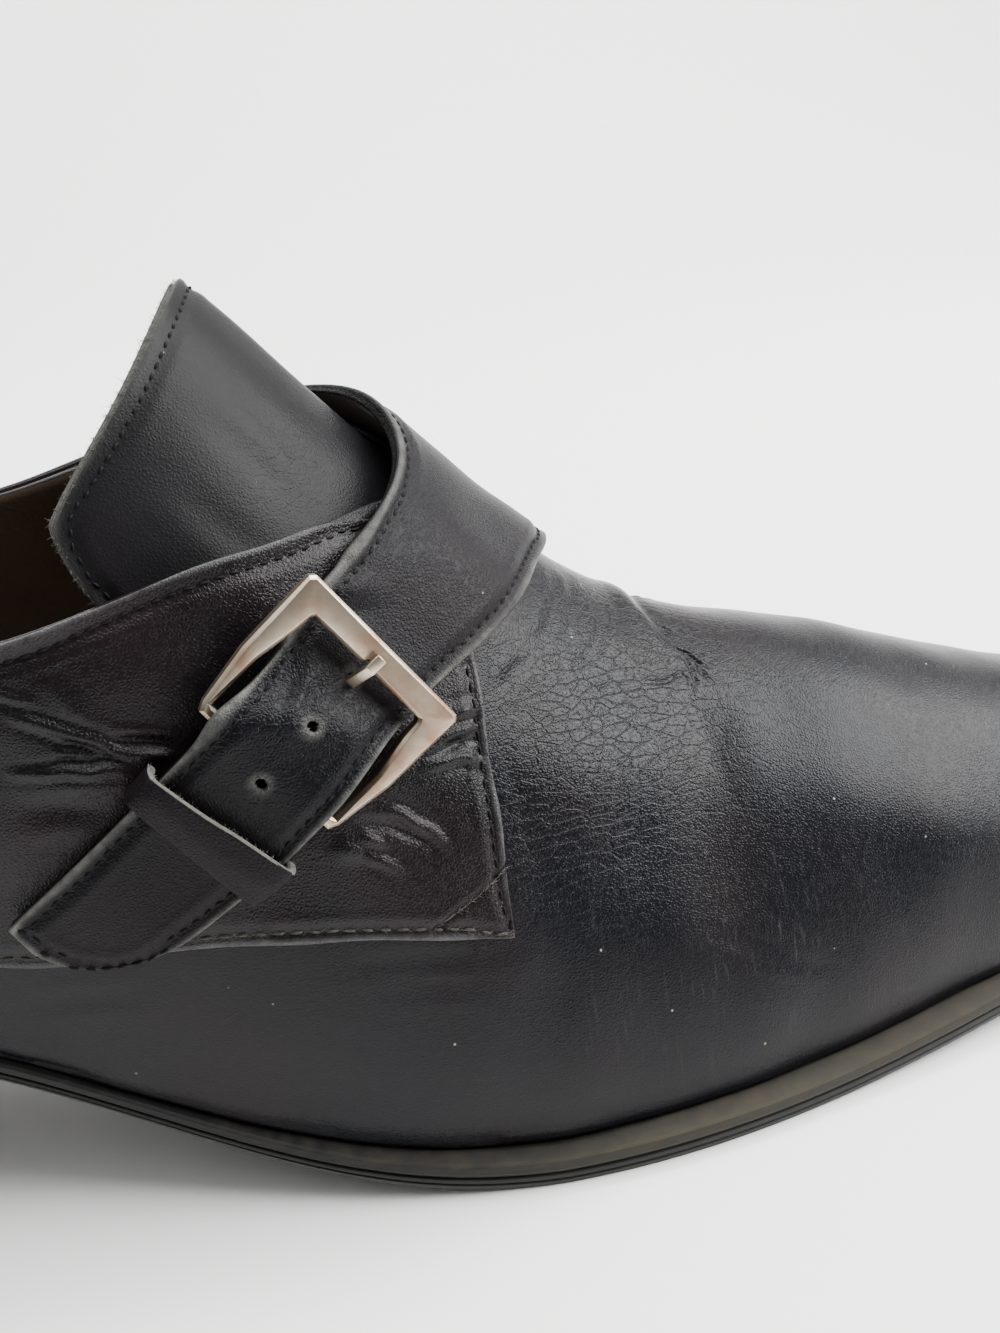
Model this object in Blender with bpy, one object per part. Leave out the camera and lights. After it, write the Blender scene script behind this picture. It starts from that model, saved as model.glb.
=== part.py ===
"""Monk strap heeled shoe, right foot.

Sizes are in millimetres. x runs from the heel back (0) to the toe, -Y is the outer (lateral) side,
z is height above the floor. The finished shoe is carried by an empty at the middle of its footprint.
"""
import math

import bmesh
import bpy
import numpy as np
from mathutils import Vector

MM = 0.001
SHARP_ANGLE = 35          # degrees between faces that meet at a hard edge

# Driving dimensions
LENGTH = 268.0            # sole, heel back to toe tip
HEEL_CAP = 34.0           # length over which the outline rounds off at the heel
TOE_CAP = 34.0            # and at the toe
HEEL_ROUND = 2.2          # superellipse powers of the two ends
TOE_ROUND = 2.5
HEEL_LEDGE = 1.2          # sole left showing behind the upper
TOE_LEDGE = 2.6           # and in front of it
TIP_HEIGHT = 0.30         # share of the toe's height that the tip itself keeps
TIP_ROUND = 2.6
BACK_BULGE = 9.0          # how the heel's back line swells and then comes in
BACK_REACH = 60.0
BACK_HEIGHT = 55.0
GAP = 0.3                 # between pieces that meet
FACET_GAP = 0.5           # between curved pieces whose facets don't line up
WALL = 1.5                # upper
QUARTER = 1.2             # leather of the quarters
STRAP = 2.0               # folded and lined strap
TONGUE = 1.5
TONGUE_GAP = 0.7          # between the tongue and the inside of the upper
INSOLE = 2.0
THROAT = 146.0            # where the collar's opening ends, under the strap
QUARTER_FRONT = 142.0     # front edge of the lateral quarter
QUARTER_TOP = 0.73        # section share where its topline ends, under the strap
HEEL_CELLS = 7            # cells along the shoe: heel round, back part, vamp and toe round
BACK_CELLS = 15
FRONT_CELLS = 12
TOE_CELLS = 8
LOW_ROWS = 3              # cells from feather line to quarter seam
HIGH_ROWS = 7             # cells from quarter seam to topline, and across the strap
HEEL_BREAST = 60.0        # front of the heel block at its top
HEEL_BASE = 53.0          # and at the top lift
BREAST_HOLLOW = 5.0
HEEL_WAIST = 20.0         # height at which the block is slimmest
HEEL_WAIST_HOLLOW = 1.5   # and how far its front comes in there
HEEL_INSETS = (1.0, 2.6, 3.0)   # from the sole's outline: top, waist, base
LIFT_BEVEL = 0.6
HEEL_ROWS = 8             # cells of the heel block along and across
HEEL_COLUMNS = 6
LIFT = 6.0                # rubber top lift
PRONG = 1.0               # thickness
PRONG_WIDTH = 1.3
PRONG_DIP = 0.8           # how far the prong bends down under the strap and up past it
PRONG_LEAN = 0.2
PRONG_LEAD = 1.4          # length over which it turns up into the hole
KEEPER = 1.2
CHAPE = 0.6
CHAPE_CELLS = 4

# Sole: half widths to each side of the middle line, underside height and edge thickness.
# The underside is cut flat at the floor, which makes the tread's flat spot.
SOLE = [
    # x, middle, lateral, medial, bottom, thick
    (0, 0.0, 27.0, 27.0, 39.5, 3.6),
    (20, 0.0, 28.5, 28.5, 38.4, 3.6),
    (40, 0.0, 28.6, 28.6, 35.6, 3.5),
    (60, 0.0, 28.7, 28.0, 29.8, 3.3),
    (85, 0.0, 32.4, 28.0, 18.9, 3.2),
    (110, 0.0, 39.0, 30.5, 7.2, 3.8),
    (130, 0.0, 43.8, 35.0, 1.5, 4.6),
    (150, 0.0, 45.8, 38.8, -0.1, 4.9),
    (168, 0.0, 44.8, 40.2, -0.1, 4.9),
    (185, 0.0, 42.0, 39.6, 0.2, 4.9),
    (205, 0.2, 37.9, 36.8, 1.6, 4.9),
    (225, 0.6, 33.2, 32.4, 3.4, 4.9),
    (240, 1.2, 30.0, 29.2, 5.0, 4.9),
    (255, 2.0, 27.2, 26.4, 7.0, 4.9),
    (268, 3.0, 24.8, 24.0, 8.8, 4.9),
]

# Edges of the sole's two layers, from the top down
MIDSOLE_EDGE = [
    # inset, share of the sole's thickness
    (0.5, 1.0),
    (0.05, 0.93),
    (0.0, 0.66),
    (0.4, 0.5),
]
OUTSOLE_EDGE = [
    # inset, share of the sole's thickness
    (0.9, 0.43),
    (0.35, 0.40),
    (0.2, 0.30),
    (0.55, 0.27),
    (0.55, 0.22),
    (0.3, 0.19),
    (0.6, 0.0),
]

# Last: crest of the section, rise and flare of its side, and how broad the crest is
LAST = [
    # x, crest_z, crest_y, rise, flare, spread
    (0, 128, 0.0, 50, 4.0, 24),
    (30, 128, 0.0, 50, 4.0, 24),
    (60, 128, 0.5, 50, 3.5, 22),
    (85, 127, 1.0, 48, 3.5, 20),
    (100, 124, 1.5, 44, 3.5, 19),
    (115, 114, 2.0, 40, 3.5, 17),
    (132, 95, 2.5, 34, 3.0, 15),
    (150, 76.5, 2.5, 27, 2.5, 15),
    (159, 68.5, 2.5, 23, 2.2, 15),
    (170, 61.0, 2.2, 20, 2.0, 16),
    (190, 55.0, 1.5, 18, 1.6, 18),
    (210, 48.5, 1.0, 17, 1.4, 18),
    (230, 41.4, 0.5, 15, 1.2, 17),
    (250, 36.0, 0.0, 13, 1.0, 16),
    (268, 31.8, 0.0, 12, 1.0, 14),
]

# Sole edge left showing beside the upper
LEDGE = [
    # x, width
    (0, 1.0),
    (60, 0.8),
    (90, 0.9),
    (130, 2.2),
    (268, 2.4),
]

# Heights of the collar's topline on both sides and of the seam below the quarters
TOPLINE = [
    # x, lateral, medial
    (0, 98.5, 98.5),
    (12, 96.5, 96.5),
    (30, 89.0, 89.0),
    (50, 82.0, 82.0),
    (70, 79.0, 79.6),
    (89, 79.3, 82.4),
    (100, 81.8, 85.7),
    (111, 84.0, 89.0),
    (123, 84.4, 91.0),
    (132, 84.8, 91.0),
    (140, 83.6, 86.0),
    (146, 80.2, 80.2),
]
SEAM_OFFSET = 0.02        # keeps the two quarters apart at the back seam
SEAM = [
    # x, height
    (0, 60.0),
    (30, 53.0),
    (60, 44.5),
    (81, 41.0),
    (93, 40.8),
    (104, 41.3),
    (116, 40.4),
    (128, 38.3),
    (142, 35.1),
]

# Tongue: where its free edge lies at each girth position, from the crest outwards
TONGUE_EDGE = [
    # girth, lateral_x, medial_x
    (0.0, 115.4, 115.4),
    (0.17, 112.8, 114.8),
    (0.33, 106.4, 111.8),
    (0.44, 98.8, 107.2),
    (0.48, 96.4, 105.6),
    (0.52, 97.6, 106.4),
    (0.56, 103.0, 110.0),
    (0.60, 113.0, 118.0),
]
TONGUE_FRONT = 152.0      # end of the tongue under the vamp
TONGUE_ROWS = 9

# Strap: a rib every few millimetres from its tip over the instep to the medial quarter's corner.
# Girth is -1 at the lateral feather line, 0 on the crest and 1 at the medial feather line.
STRAP_RIBS = [
    # back_x, back_girth, front_x, front_girth, lift, leather
    (84.8, -0.828, 87.2, -0.843, 2.2, 2.0),
    (88.5, -0.795, 92.6, -0.845, 2.2, 2.0),
    (92.5, -0.760, 98.4, -0.824, 2.2, 2.0),
    (96.4, -0.723, 104.0, -0.784, 2.3, 2.0),
    (100.2, -0.687, 110.0, -0.735, 2.8, 2.0),
    (103.6, -0.653, 115.3, -0.690, 3.8, 2.0),
    (106.7, -0.622, 119.0, -0.650, 5.1, 2.0),
    (109.6, -0.594, 122.2, -0.614, 5.8, 2.0),
    (112.4, -0.566, 125.3, -0.578, 5.3, 2.0),
    (115.4, -0.533, 128.4, -0.542, 4.2, 2.0),
    (118.5, -0.497, 131.6, -0.506, 3.2, 2.0),
    (121.4, -0.458, 135.0, -0.466, 2.5, 2.0),
    (124.2, -0.418, 138.2, -0.428, 2.2, 2.0),
    (127.7, -0.366, 141.4, -0.388, 2.2, 2.0),
    (131.2, -0.298, 145.3, -0.333, 2.2, 2.0),
    (134.2, -0.222, 149.4, -0.250, 1.8, 2.0),
    (135.8, -0.145, 152.9, -0.160, 1.3, 2.0),
    (135.8, -0.070, 155.5, -0.075, 1.0, 2.0),
    (134.2, 0.020, 156.8, 0.020, 0.9, 1.9),
    (131.0, 0.127, 157.0, 0.120, 0.8, 1.8),
    (126.0, 0.237, 156.2, 0.230, 0.8, 1.6),
    (120.5, 0.321, 154.8, 0.345, 0.8, 1.4),
    (114.8, 0.387, 152.4, 0.460, 0.8, 1.3),
    (109.0, 0.441, 149.4, 0.570, 0.8, 1.2),
    (103.4, 0.483, 144.8, 0.670, 0.8, 1.2),
]
TIP_RIB = 0.4             # extra rib that rounds the strap's tip
PRONG_HOLE = 9.95         # places of the punched holes, counted in ribs
TAIL_HOLES = (8.2, 6.35)
PRONG_HOLE_REACH = 0.45   # half length of a hole, counted in ribs
TAIL_HOLE_REACH = 0.21
HOLE_HALF = 0.055         # half width of the holes, as a share of the strap's width
HOLE_CLEAR = 0.3          # ribs nearer than this to a hole's ends are left out
FAN_END = 84.0            # where the medial quarter's ribs stand upright again
FAN_RIBS = 7

# Buckle, seen flat: half widths and lengths of the frame
FRONT_BAR = 10.58         # rib that the front bar lies over
HEEL_BAR = 6.75           # rib that lies over the heel bar
BAR_WIDTH = 3.4
BAR_GAP = 1.6             # from the strap up to the front bar
BAR_THICK = 2.2
HEEL_BAR_THICK = 1.8
HEEL_BAR_GAP = 0.7        # from the heel bar up to the strap
FRONT_HALF = 12.2
FRONT_OPENING = 8.5
ARM_HALF = 11.9
ARM_OPENING = 9.75
SHOULDER_OPENING = 8.9
HEEL_HALF = 10.75
CORNER = 0.6              # cut of the frame's front corners
INNER_CORNER = 0.5
HEEL_ROUND_OFF = 0.6      # of its heel end
SHOULDER = 2.6            # length over which the front bar runs into the arms
ARM_MIDDLE = 0.45         # share of the buckle's length
HEEL_BAR_HALF = 0.8
NOTCH = 0.7               # dip in the front bar's inner edge, where the prong lies
NOTCH_HALF = 1.0
FRAME_LEVELS = [
    # share of thickness above the middle, bevel
    (0.5, 0.45),
    (0.3, 0.0),
    (-0.5, 0.0),
]
KEEPER_LOW = 4.2          # ribs between which the keeper lies
KEEPER_HIGH = 5.1
CHAPE_LOW = 4.6           # ribs between which the chape lies, and its share in from the strap's edges
CHAPE_HIGH = 7.2
CHAPE_SIDE = 0.15

# Half of the keeper's section: distance past the strap's edge and share of its rise
KEEPER_SECTION = [
    # inner_past, inner_rise, outer_past, outer_rise
    (0.7, 0.0, 1.8, 0.0),
    (0.7, 0.75, 1.8, 0.6),
    (0.3, 1.0, 1.2, 0.9),
    (-1.5, 1.0, -0.8, 1.02),
    (-8.0, 1.0, -8.0, 1.04),
]


def spline(rows, column):
    """Natural cubic spline of one column of a table over its first column."""
    xs = np.array([row[0] for row in rows], float)
    ys = np.array([row[column] for row in rows], float)
    step = np.diff(xs)
    count = len(xs)
    matrix = np.eye(count)
    right = np.zeros(count)
    for i in range(1, count - 1):
        matrix[i, i - 1:i + 2] = step[i - 1], 2 * (step[i - 1] + step[i]), step[i]
        right[i] = 6 * ((ys[i + 1] - ys[i]) / step[i] - (ys[i] - ys[i - 1]) / step[i - 1])
    bend = np.linalg.solve(matrix, right)

    def value(x):
        x = min(max(x, xs[0]), xs[-1])
        i = min(max(int(np.searchsorted(xs, x)) - 1, 0), count - 2)
        a, b, h = xs[i + 1] - x, x - xs[i], step[i]
        curve = (bend[i] * a ** 3 + bend[i + 1] * b ** 3) / (6 * h)
        return float(curve + (ys[i] / h - bend[i] * h / 6) * a + (ys[i + 1] / h - bend[i + 1] * h / 6) * b)

    return value


def numbered(rows):
    """The same table with the row number as its first column."""
    return [(i, *row) for i, row in enumerate(rows)]


middle, lateral, medial, raw_bottom, thick = (spline(SOLE, c) for c in range(1, 6))
crest_z, crest_y, rise, flare, spread = (spline(LAST, c) for c in range(1, 6))
ledge = spline(LEDGE, 1)
top_lateral, top_medial = spline(TOPLINE, 1), spline(TOPLINE, 2)
seam_height = spline(SEAM, 1)
strap_columns = [spline(numbered(STRAP_RIBS), c) for c in range(1, 7)]
tongue_lateral, tongue_medial = spline(TONGUE_EDGE, 1), spline(TONGUE_EDGE, 2)
FIRST, LAST_X = HEEL_LEDGE, LENGTH - TOE_LEDGE


def bottom(x):
    return max(raw_bottom(x), 0.0)


def half_width(x, side):
    return lateral(x) if side < 0 else medial(x)


def end_round(x, start, end):
    """1 along the middle, falling to 0 at both ends as a superellipse."""
    back = min(max((start + HEEL_CAP - x) / HEEL_CAP, 0), 1)
    front = min(max((x - end + TOE_CAP) / TOE_CAP, 0), 1)
    return (1 - back ** HEEL_ROUND) ** (1 / HEEL_ROUND) * (1 - front ** TOE_ROUND) ** (1 / TOE_ROUND)


def along(x):
    """Length position s, 0 at the heel back and 1 at the toe tip, that lies at x on the upper."""
    share = min(max((x - FIRST) / (LAST_X - FIRST), 0), 1)
    return math.acos(1 - 2 * share) / math.pi


def section(x, side):
    """Bezier points (y, z) of one half of the last's cross-section, feather line to crest."""
    round_off = end_round(x, FIRST, LAST_X)
    front = min(max((x - LAST_X + TOE_CAP) / TOE_CAP, 0), 1)
    height = TIP_HEIGHT + (1 - TIP_HEIGHT) * (1 - front ** TIP_ROUND) ** (1 / TIP_ROUND)
    foot = bottom(x) + thick(x) + GAP
    crest = foot + (crest_z(x) - foot) * height
    width = half_width(x, side) - ledge(x)
    centre = middle(x)
    ridge = centre + crest_y(x) * round_off
    return (
        (centre + side * width * round_off, foot),
        (centre + side * (width + flare(x)) * round_off, foot + rise(x) * height),
        (ridge + side * spread(x) * round_off, crest),
        (ridge, crest),
    )


def bezier(points, t):
    weights = ((1 - t) ** 3, 3 * t * (1 - t) ** 2, 3 * t * t * (1 - t), t ** 3)
    return [sum(w * p[axis] for w, p in zip(weights, points)) for axis in (0, 1)]


def last_point(s, girth):
    """Outer surface of the upper at length position s and girth position."""
    if s < 0:
        s, girth = -s, -girth
    if s > 1:
        s, girth = 2 - s, -girth
    x = FIRST + (LAST_X - FIRST) * (1 - math.cos(math.pi * s)) / 2
    side = -1 if girth < 0 else 1
    points = section(x, side)
    y, z = bezier(points, 1 - abs(girth))
    up = (z - points[0][1]) / BACK_HEIGHT
    back = min(max((BACK_REACH - x) / BACK_REACH, 0), 1) ** 2
    return Vector((x + back * up * (1 - BACK_BULGE * (1 - up)), y, z))


def skin(x, girth, height=0.0):
    """Point at a height above (or below) the upper's outer surface."""
    step = 1e-3
    s = along(x)
    lengthwise = last_point(s + step, girth) - last_point(s - step, girth)
    around = last_point(s, girth + step) - last_point(s, girth - step)
    return last_point(s, girth) + lengthwise.cross(around).normalized() * height


def share_at_height(x, side, height):
    """Share of the way up the section, 0 at the feather line and 1 at the crest, of a height."""
    points = section(x, side)
    low, high = 0.0, 1.0
    for _ in range(40):
        half = (low + high) / 2
        if bezier(points, half)[1] < height:
            low = half
        else:
            high = half
    return (low + high) / 2


def top_share(x, side):
    """Section share of the topline, or 1 where the vamp is closed."""
    if x >= THROAT - 0.01:
        return 1.0
    return share_at_height(x, side, top_lateral(x) if side < 0 else top_medial(x))


def seam_share(x, side):
    x = min(x, QUARTER_FRONT)
    return share_at_height(x, side, seam_height(x))


def spaced(start, end, count):
    return list(np.linspace(start, end, count + 1))


def stations():
    """x of the upper's cross-sections: close together at both ends, even between."""
    heel_turns = [k / HEEL_CELLS * math.pi / 2 for k in range(HEEL_CELLS)]
    toe_turns = [k / TOE_CELLS * math.pi / 2 for k in range(TOE_CELLS + 1)]
    heel = [FIRST + HEEL_CAP * (1 - math.cos(turn)) for turn in heel_turns]
    toe = [LAST_X - TOE_CAP * (1 - math.sin(turn)) for turn in toe_turns]
    back = spaced(FIRST + HEEL_CAP, QUARTER_FRONT, BACK_CELLS)
    front = spaced(THROAT, toe[0], FRONT_CELLS)
    return heel + back + front[:-1] + toe


STATIONS = stations()


def row_shares(x, side):
    """Section shares of the upper's rows, feather line to topline."""
    seam, top = seam_share(x, side), top_share(x, side)
    return spaced(0, seam, LOW_ROWS)[:-1] + spaced(seam, top, HIGH_ROWS)


def material(name, hex_colour, roughness, metallic=0.0):
    made = bpy.data.materials.new(name)
    made.use_nodes = True
    shader = made.node_tree.nodes["Principled BSDF"]
    srgb = [int(hex_colour[i:i + 2], 16) / 255 for i in (0, 2, 4)]
    linear = [((c + 0.055) / 1.055) ** 2.4 if c > 0.04045 else c / 12.92 for c in srgb]
    shader.inputs["Base Color"].default_value = (*linear, 1)
    shader.inputs["Roughness"].default_value = roughness
    shader.inputs["Metallic"].default_value = metallic
    return made


def solid(name, layers, finish, holes=()):
    """Closed body between the first and the last of several grids of points.

    The first grid faces out, its points that coincide are one, its cells in holes stay open, and
    walls run through the grids between along every free edge.
    """
    bm = bmesh.new()
    stacks = {}

    def stack(i, j):
        key = tuple(round(c, 3) for c in layers[0][i][j])
        if key not in stacks:
            stacks[key] = [bm.verts.new(layer[i][j] * MM) for layer in layers]
        return key

    edges = []
    rows, columns = len(layers[0]) - 1, len(layers[0][0]) - 1
    for i in range(rows):
        for j in range(columns):
            if (i, j) in holes:
                continue
            corners = [stack(i, j), stack(i + 1, j), stack(i + 1, j + 1), stack(i, j + 1)]
            corners = list(dict.fromkeys(corners))
            if len(corners) < 3:
                continue
            bm.faces.new([stacks[key][0] for key in corners])
            bm.faces.new([stacks[key][-1] for key in reversed(corners)])
            edges += zip(corners, corners[1:] + corners[:1])
    known = set(edges)
    for a, b in edges:
        if (b, a) in known:
            continue
        for k in range(len(layers) - 1):
            bm.faces.new([stacks[b][k], stacks[a][k], stacks[a][k + 1], stacks[b][k + 1]])
    return finished(name, bm, finish)


def finished(name, bm, finish):
    mesh = bpy.data.meshes.new(name)
    bm.to_mesh(mesh)
    bm.free()
    mesh.materials.append(finish)
    mesh.shade_smooth()
    mesh.set_sharp_from_angle(angle=math.radians(SHARP_ANGLE))
    made = bpy.data.objects.new(name, mesh)
    bpy.context.collection.objects.link(made)
    return made


def outline(share, side, inset):
    """Point (x, y) of the sole's outline, share 0 at the heel back and 1 at the toe tip."""
    def at(s, edge):
        if s < 0:
            s, edge = -s, -edge
        if s > 1:
            s, edge = 2 - s, -edge
        x = LENGTH * (1 - math.cos(math.pi * s)) / 2
        return Vector((x, middle(x) + edge * half_width(x, edge) * end_round(x, 0, LENGTH), 0))

    step = 1e-3
    s = math.acos(1 - 2 * share) / math.pi
    run = (at(s + step, side) - at(s - step, side)).normalized()
    return at(s, side) + Vector((-run.y, run.x, 0)) * (-side) * inset


def sole_layer(inset, height_share):
    """Two rows of points along the sole's edge, at a share of its thickness."""
    grid = []
    for x in STATIONS:
        share = (x - FIRST) / (LAST_X - FIRST)
        pair = []
        for side in (-1, 1):
            point = outline(share, side, inset)
            level = LENGTH * share
            point.z = bottom(level) + thick(level) * height_share
            pair.append(point)
        grid.append(pair)
    return grid


def make_outsole(finish):
    return solid("outsole", [sole_layer(*row) for row in OUTSOLE_EDGE], finish)


def make_midsole(finish):
    return solid("midsole", [sole_layer(*row) for row in MIDSOLE_EDGE], finish)


def make_insole(finish):
    """Board inside the upper, on the midsole."""
    def layer(height):
        grid = []
        for x in STATIONS:
            pair = [skin(x, girth, -(WALL + FACET_GAP)) for girth in (-1, 1)]
            for point in pair:
                point.z = bottom(x) + thick(x) + height
            grid.append(pair)
        return grid

    return solid("insole", [layer(GAP + INSOLE), layer(GAP)], finish)


def make_upper(finish):
    """Hollow wall from the feather line to the collar, closed over the vamp."""
    def layer(height):
        grid = []
        for x in STATIONS:
            outer = [skin(x, share - 1, height) for share in row_shares(x, -1)]
            inner = [skin(x, 1 - share, height) for share in reversed(row_shares(x, 1))]
            grid.append(outer + inner)
        return grid

    collar = [(i, LOW_ROWS + HIGH_ROWS) for i in range(len(STATIONS))]
    return solid("upper", [layer(0.0), layer(-WALL)], finish, collar)


def make_tongue(finish):
    """Saddle flap inside the throat, its front end under the vamp."""
    girths = [-row[0] for row in reversed(TONGUE_EDGE)] + [row[0] for row in TONGUE_EDGE[1:]]

    def layer(depth):
        grid = []
        for share in spaced(0, 1, TONGUE_ROWS):
            row = []
            for girth in girths:
                back = tongue_lateral(-girth) if girth < 0 else tongue_medial(girth)
                row.append(skin(back + (TONGUE_FRONT - back) * share, girth, -depth))
            grid.append(row)
        return grid

    outside = WALL + TONGUE_GAP
    return solid("tongue", [layer(outside), layer(outside + TONGUE)], finish)


def quarter_rows(x, side):
    return spaced(seam_share(x, side), top_share(x, side), HIGH_ROWS)


def quarter_stations():
    """Stations of a quarter, a hair off the heel's middle line at the back seam."""
    return [FIRST + SEAM_OFFSET] + [x for x in STATIONS if FIRST < x <= QUARTER_FRONT + 0.01]


def make_quarter_lateral(finish):
    def layer(height):
        grid = []
        for x in quarter_stations():
            shares = quarter_rows(x, -1)
            if shares[-1] > QUARTER_TOP:
                shares = spaced(shares[0], QUARTER_TOP, HIGH_ROWS)
            grid.append([skin(x, share - 1, height) for share in shares])
        return grid

    return solid("quarter_lateral", [layer(GAP + QUARTER), layer(GAP)], finish)


def strap_point(rib, across, extra=0.0, past=0.0):
    """Point on the strap's underside: rib number, share from back to front edge, and height above it."""
    back_x, back_girth, front_x, front_girth, lift, _ = (column(rib) for column in strap_columns)
    x = back_x + (front_x - back_x) * across
    girth = back_girth + (front_girth - back_girth) * across
    point = skin(x, girth, lift + extra)
    if past:
        edge = skin(front_x, front_girth) - skin(back_x, back_girth)
        point += edge.normalized() * past
    return point


def strap_leather(rib):
    return strap_columns[5](rib)


def strap_ribs():
    """Rib numbers from tip to medial corner, with a pair around each hole."""
    holes = [(PRONG_HOLE, PRONG_HOLE_REACH)] + [(hole, TAIL_HOLE_REACH) for hole in TAIL_HOLES]
    count = len(STRAP_RIBS) - 1
    ribs = [TIP_RIB]
    for rib in spaced(0, count, count):
        if all(abs(rib - hole) > reach + HOLE_CLEAR for hole, reach in holes):
            ribs.append(rib)
    ribs += [hole + sign * reach for hole, reach in holes for sign in (-1, 1)]
    return sorted(ribs), [hole - reach for hole, reach in holes]


def make_quarter_medial_strap(finish):
    """The strap from tip over the instep, widening into the medial quarter back to the heel."""
    ribs, hole_starts = strap_ribs()
    half = HIGH_ROWS // 2
    shares = spaced(0, 0.5 - HOLE_HALF, half) + spaced(0.5 + HOLE_HALF, 1, half)
    last = STRAP_RIBS[-1]
    upright = [x for x in reversed(quarter_stations()) if x < FAN_END]

    def fan_rib(share, height):
        """Rib between the strap's last one and the first upright one, its feet on topline and seam."""
        end = upright[0]
        back = last[0] + (end - last[0]) * share
        front = last[2] + (end - last[2]) * share
        top = 1 - top_share(back, 1)
        low = 1 - seam_share(front, 1)
        return [skin(back + (front - back) * a, top + (low - top) * a, height) for a in shares]

    def layer(outside):
        grid = []
        for rib in ribs:
            extra = strap_leather(rib) if outside else 0.0
            grid.append([strap_point(rib, a, extra) for a in shares])
        extra = QUARTER if outside else 0.0
        for k in range(1, FAN_RIBS):
            share = k / FAN_RIBS
            lift = last[4] + (GAP - last[4]) * share
            grid.append(fan_rib(share, lift + extra))
        for x in upright:
            rows = reversed(quarter_rows(x, 1))
            grid.append([skin(x, 1 - share, GAP + extra) for share in rows])
        return grid

    holes = [(ribs.index(start), HIGH_ROWS // 2) for start in hole_starts]
    grids = [[list(reversed(row)) for row in layer(outside)] for outside in (True, False)]
    return solid("quarter_medial_strap", grids, finish, holes)


def buckle_axes():
    """Middles of front bar and heel bar, and the directions along, across and out of the buckle."""
    front_height = strap_leather(FRONT_BAR) + BAR_GAP + BAR_THICK / 2
    front = strap_point(FRONT_BAR, 0.5, front_height)
    heel = strap_point(HEEL_BAR, 0.5, -(HEEL_BAR_GAP + HEEL_BAR_THICK / 2))
    length = front - heel
    run = length.normalized()
    across = Vector()
    for rib in (FRONT_BAR, HEEL_BAR):
        across += (strap_point(rib, 1.0) - strap_point(rib, 0.0)).normalized()
    across = (across - run * across.dot(run)).normalized()
    out = run.cross(across)
    if out.y > 0:
        out = -out
    return heel, length.length, run, across, out


def make_buckle_frame(finish):
    """Flat ring: broad front bar, arms that taper, thin heel bar under the strap."""
    heel, length, run, across, out = buckle_axes()
    inside, outside = length - BAR_WIDTH / 2, length + BAR_WIDTH / 2
    shoulder, elbow = inside - SHOULDER, length * ARM_MIDDLE
    bar, heel_round = HEEL_BAR_HALF, HEEL_ROUND_OFF
    ring = [
        # inner_run, inner_half, outer_run, outer_half, thickness
        (inside + NOTCH, 0.0, outside, 0.0, BAR_THICK),
        (inside + NOTCH, NOTCH_HALF / 2, outside, NOTCH_HALF / 2, BAR_THICK),
        (inside, NOTCH_HALF, outside, NOTCH_HALF, BAR_THICK),
        (inside, FRONT_OPENING, outside, FRONT_HALF - CORNER, BAR_THICK),
        (inside - INNER_CORNER, FRONT_OPENING + GAP, outside - CORNER, FRONT_HALF, BAR_THICK),
        (shoulder, SHOULDER_OPENING, shoulder, FRONT_HALF - GAP / 2, BAR_THICK),
        (elbow, ARM_OPENING, elbow, ARM_HALF, BAR_THICK),
        (bar, ARM_OPENING, heel_round, HEEL_HALF, HEEL_BAR_THICK),
        (bar, ARM_OPENING - heel_round, -heel_round, HEEL_HALF - heel_round, HEEL_BAR_THICK),
        (bar, 0.0, -bar, 0.0, HEEL_BAR_THICK),
    ]
    loop = [(row, 1) for row in ring] + [(row, -1) for row in reversed(ring[1:-1])]
    loop.append(loop[0])

    def layer(level, grow):
        grid = []
        for (inner_run, inner, outer_run, outer, depth), side in loop:
            raise_by = out * depth * level
            near = heel + run * inner_run + across * inner * side
            far = heel + run * outer_run + across * outer * side
            inward = (far - near).normalized() * grow
            grid.append([near + inward + raise_by, far - inward + raise_by])
        return grid

    grids = [layer(*level) for level in FRAME_LEVELS]
    if run.cross(across).dot(out) > 0:
        grids = [[list(reversed(row)) for row in grid] for grid in grids]
    return solid("buckle_frame", grids, finish)


def make_buckle_prong(finish):
    """Bent rod from the heel bar up through the strap's hole and over the front bar."""
    heel, length, run, across, out = buckle_axes()
    half = PRONG / 2
    bar_top = BAR_THICK / 2 + GAP + half
    hole = (strap_point(PRONG_HOLE, 0.5) - heel).dot(run)
    hole_under = (strap_point(PRONG_HOLE, 0.5) - heel).dot(out)
    bar_back = length - BAR_WIDTH / 2 + NOTCH / 2
    path = [
        # run along the buckle, height above its plane
        (HEEL_BAR_THICK / 2 + FACET_GAP, 0.0),
        (hole / 2, -PRONG_DIP),
        (hole - PRONG_LEAD, hole_under - PRONG_DIP),
        (hole - PRONG_LEAN, hole_under + STRAP / 2),
        (hole, hole_under + STRAP + PRONG_DIP),
        (bar_back - GAP, bar_top),
        (length + PRONG_LEAN, bar_top),
    ]
    points = [heel + run * a + out * h for a, h in path]

    def layer(level):
        grid = []
        for k, point in enumerate(points):
            ahead = points[min(k + 1, len(points) - 1)] - points[max(k - 1, 0)]
            up = across.cross(ahead).normalized()
            if up.dot(out) < 0:
                up = -up
            sides = [across * PRONG_WIDTH / 2 * side for side in (-1, 1)]
            grid.append([point + side + up * half * level for side in sides])
        return grid

    grids = [layer(1), layer(-1)]
    if run.cross(across).dot(out) < 0:
        grids = [[list(reversed(row)) for row in grid] for grid in grids]
    return solid("buckle_prong", grids, finish)


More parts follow.
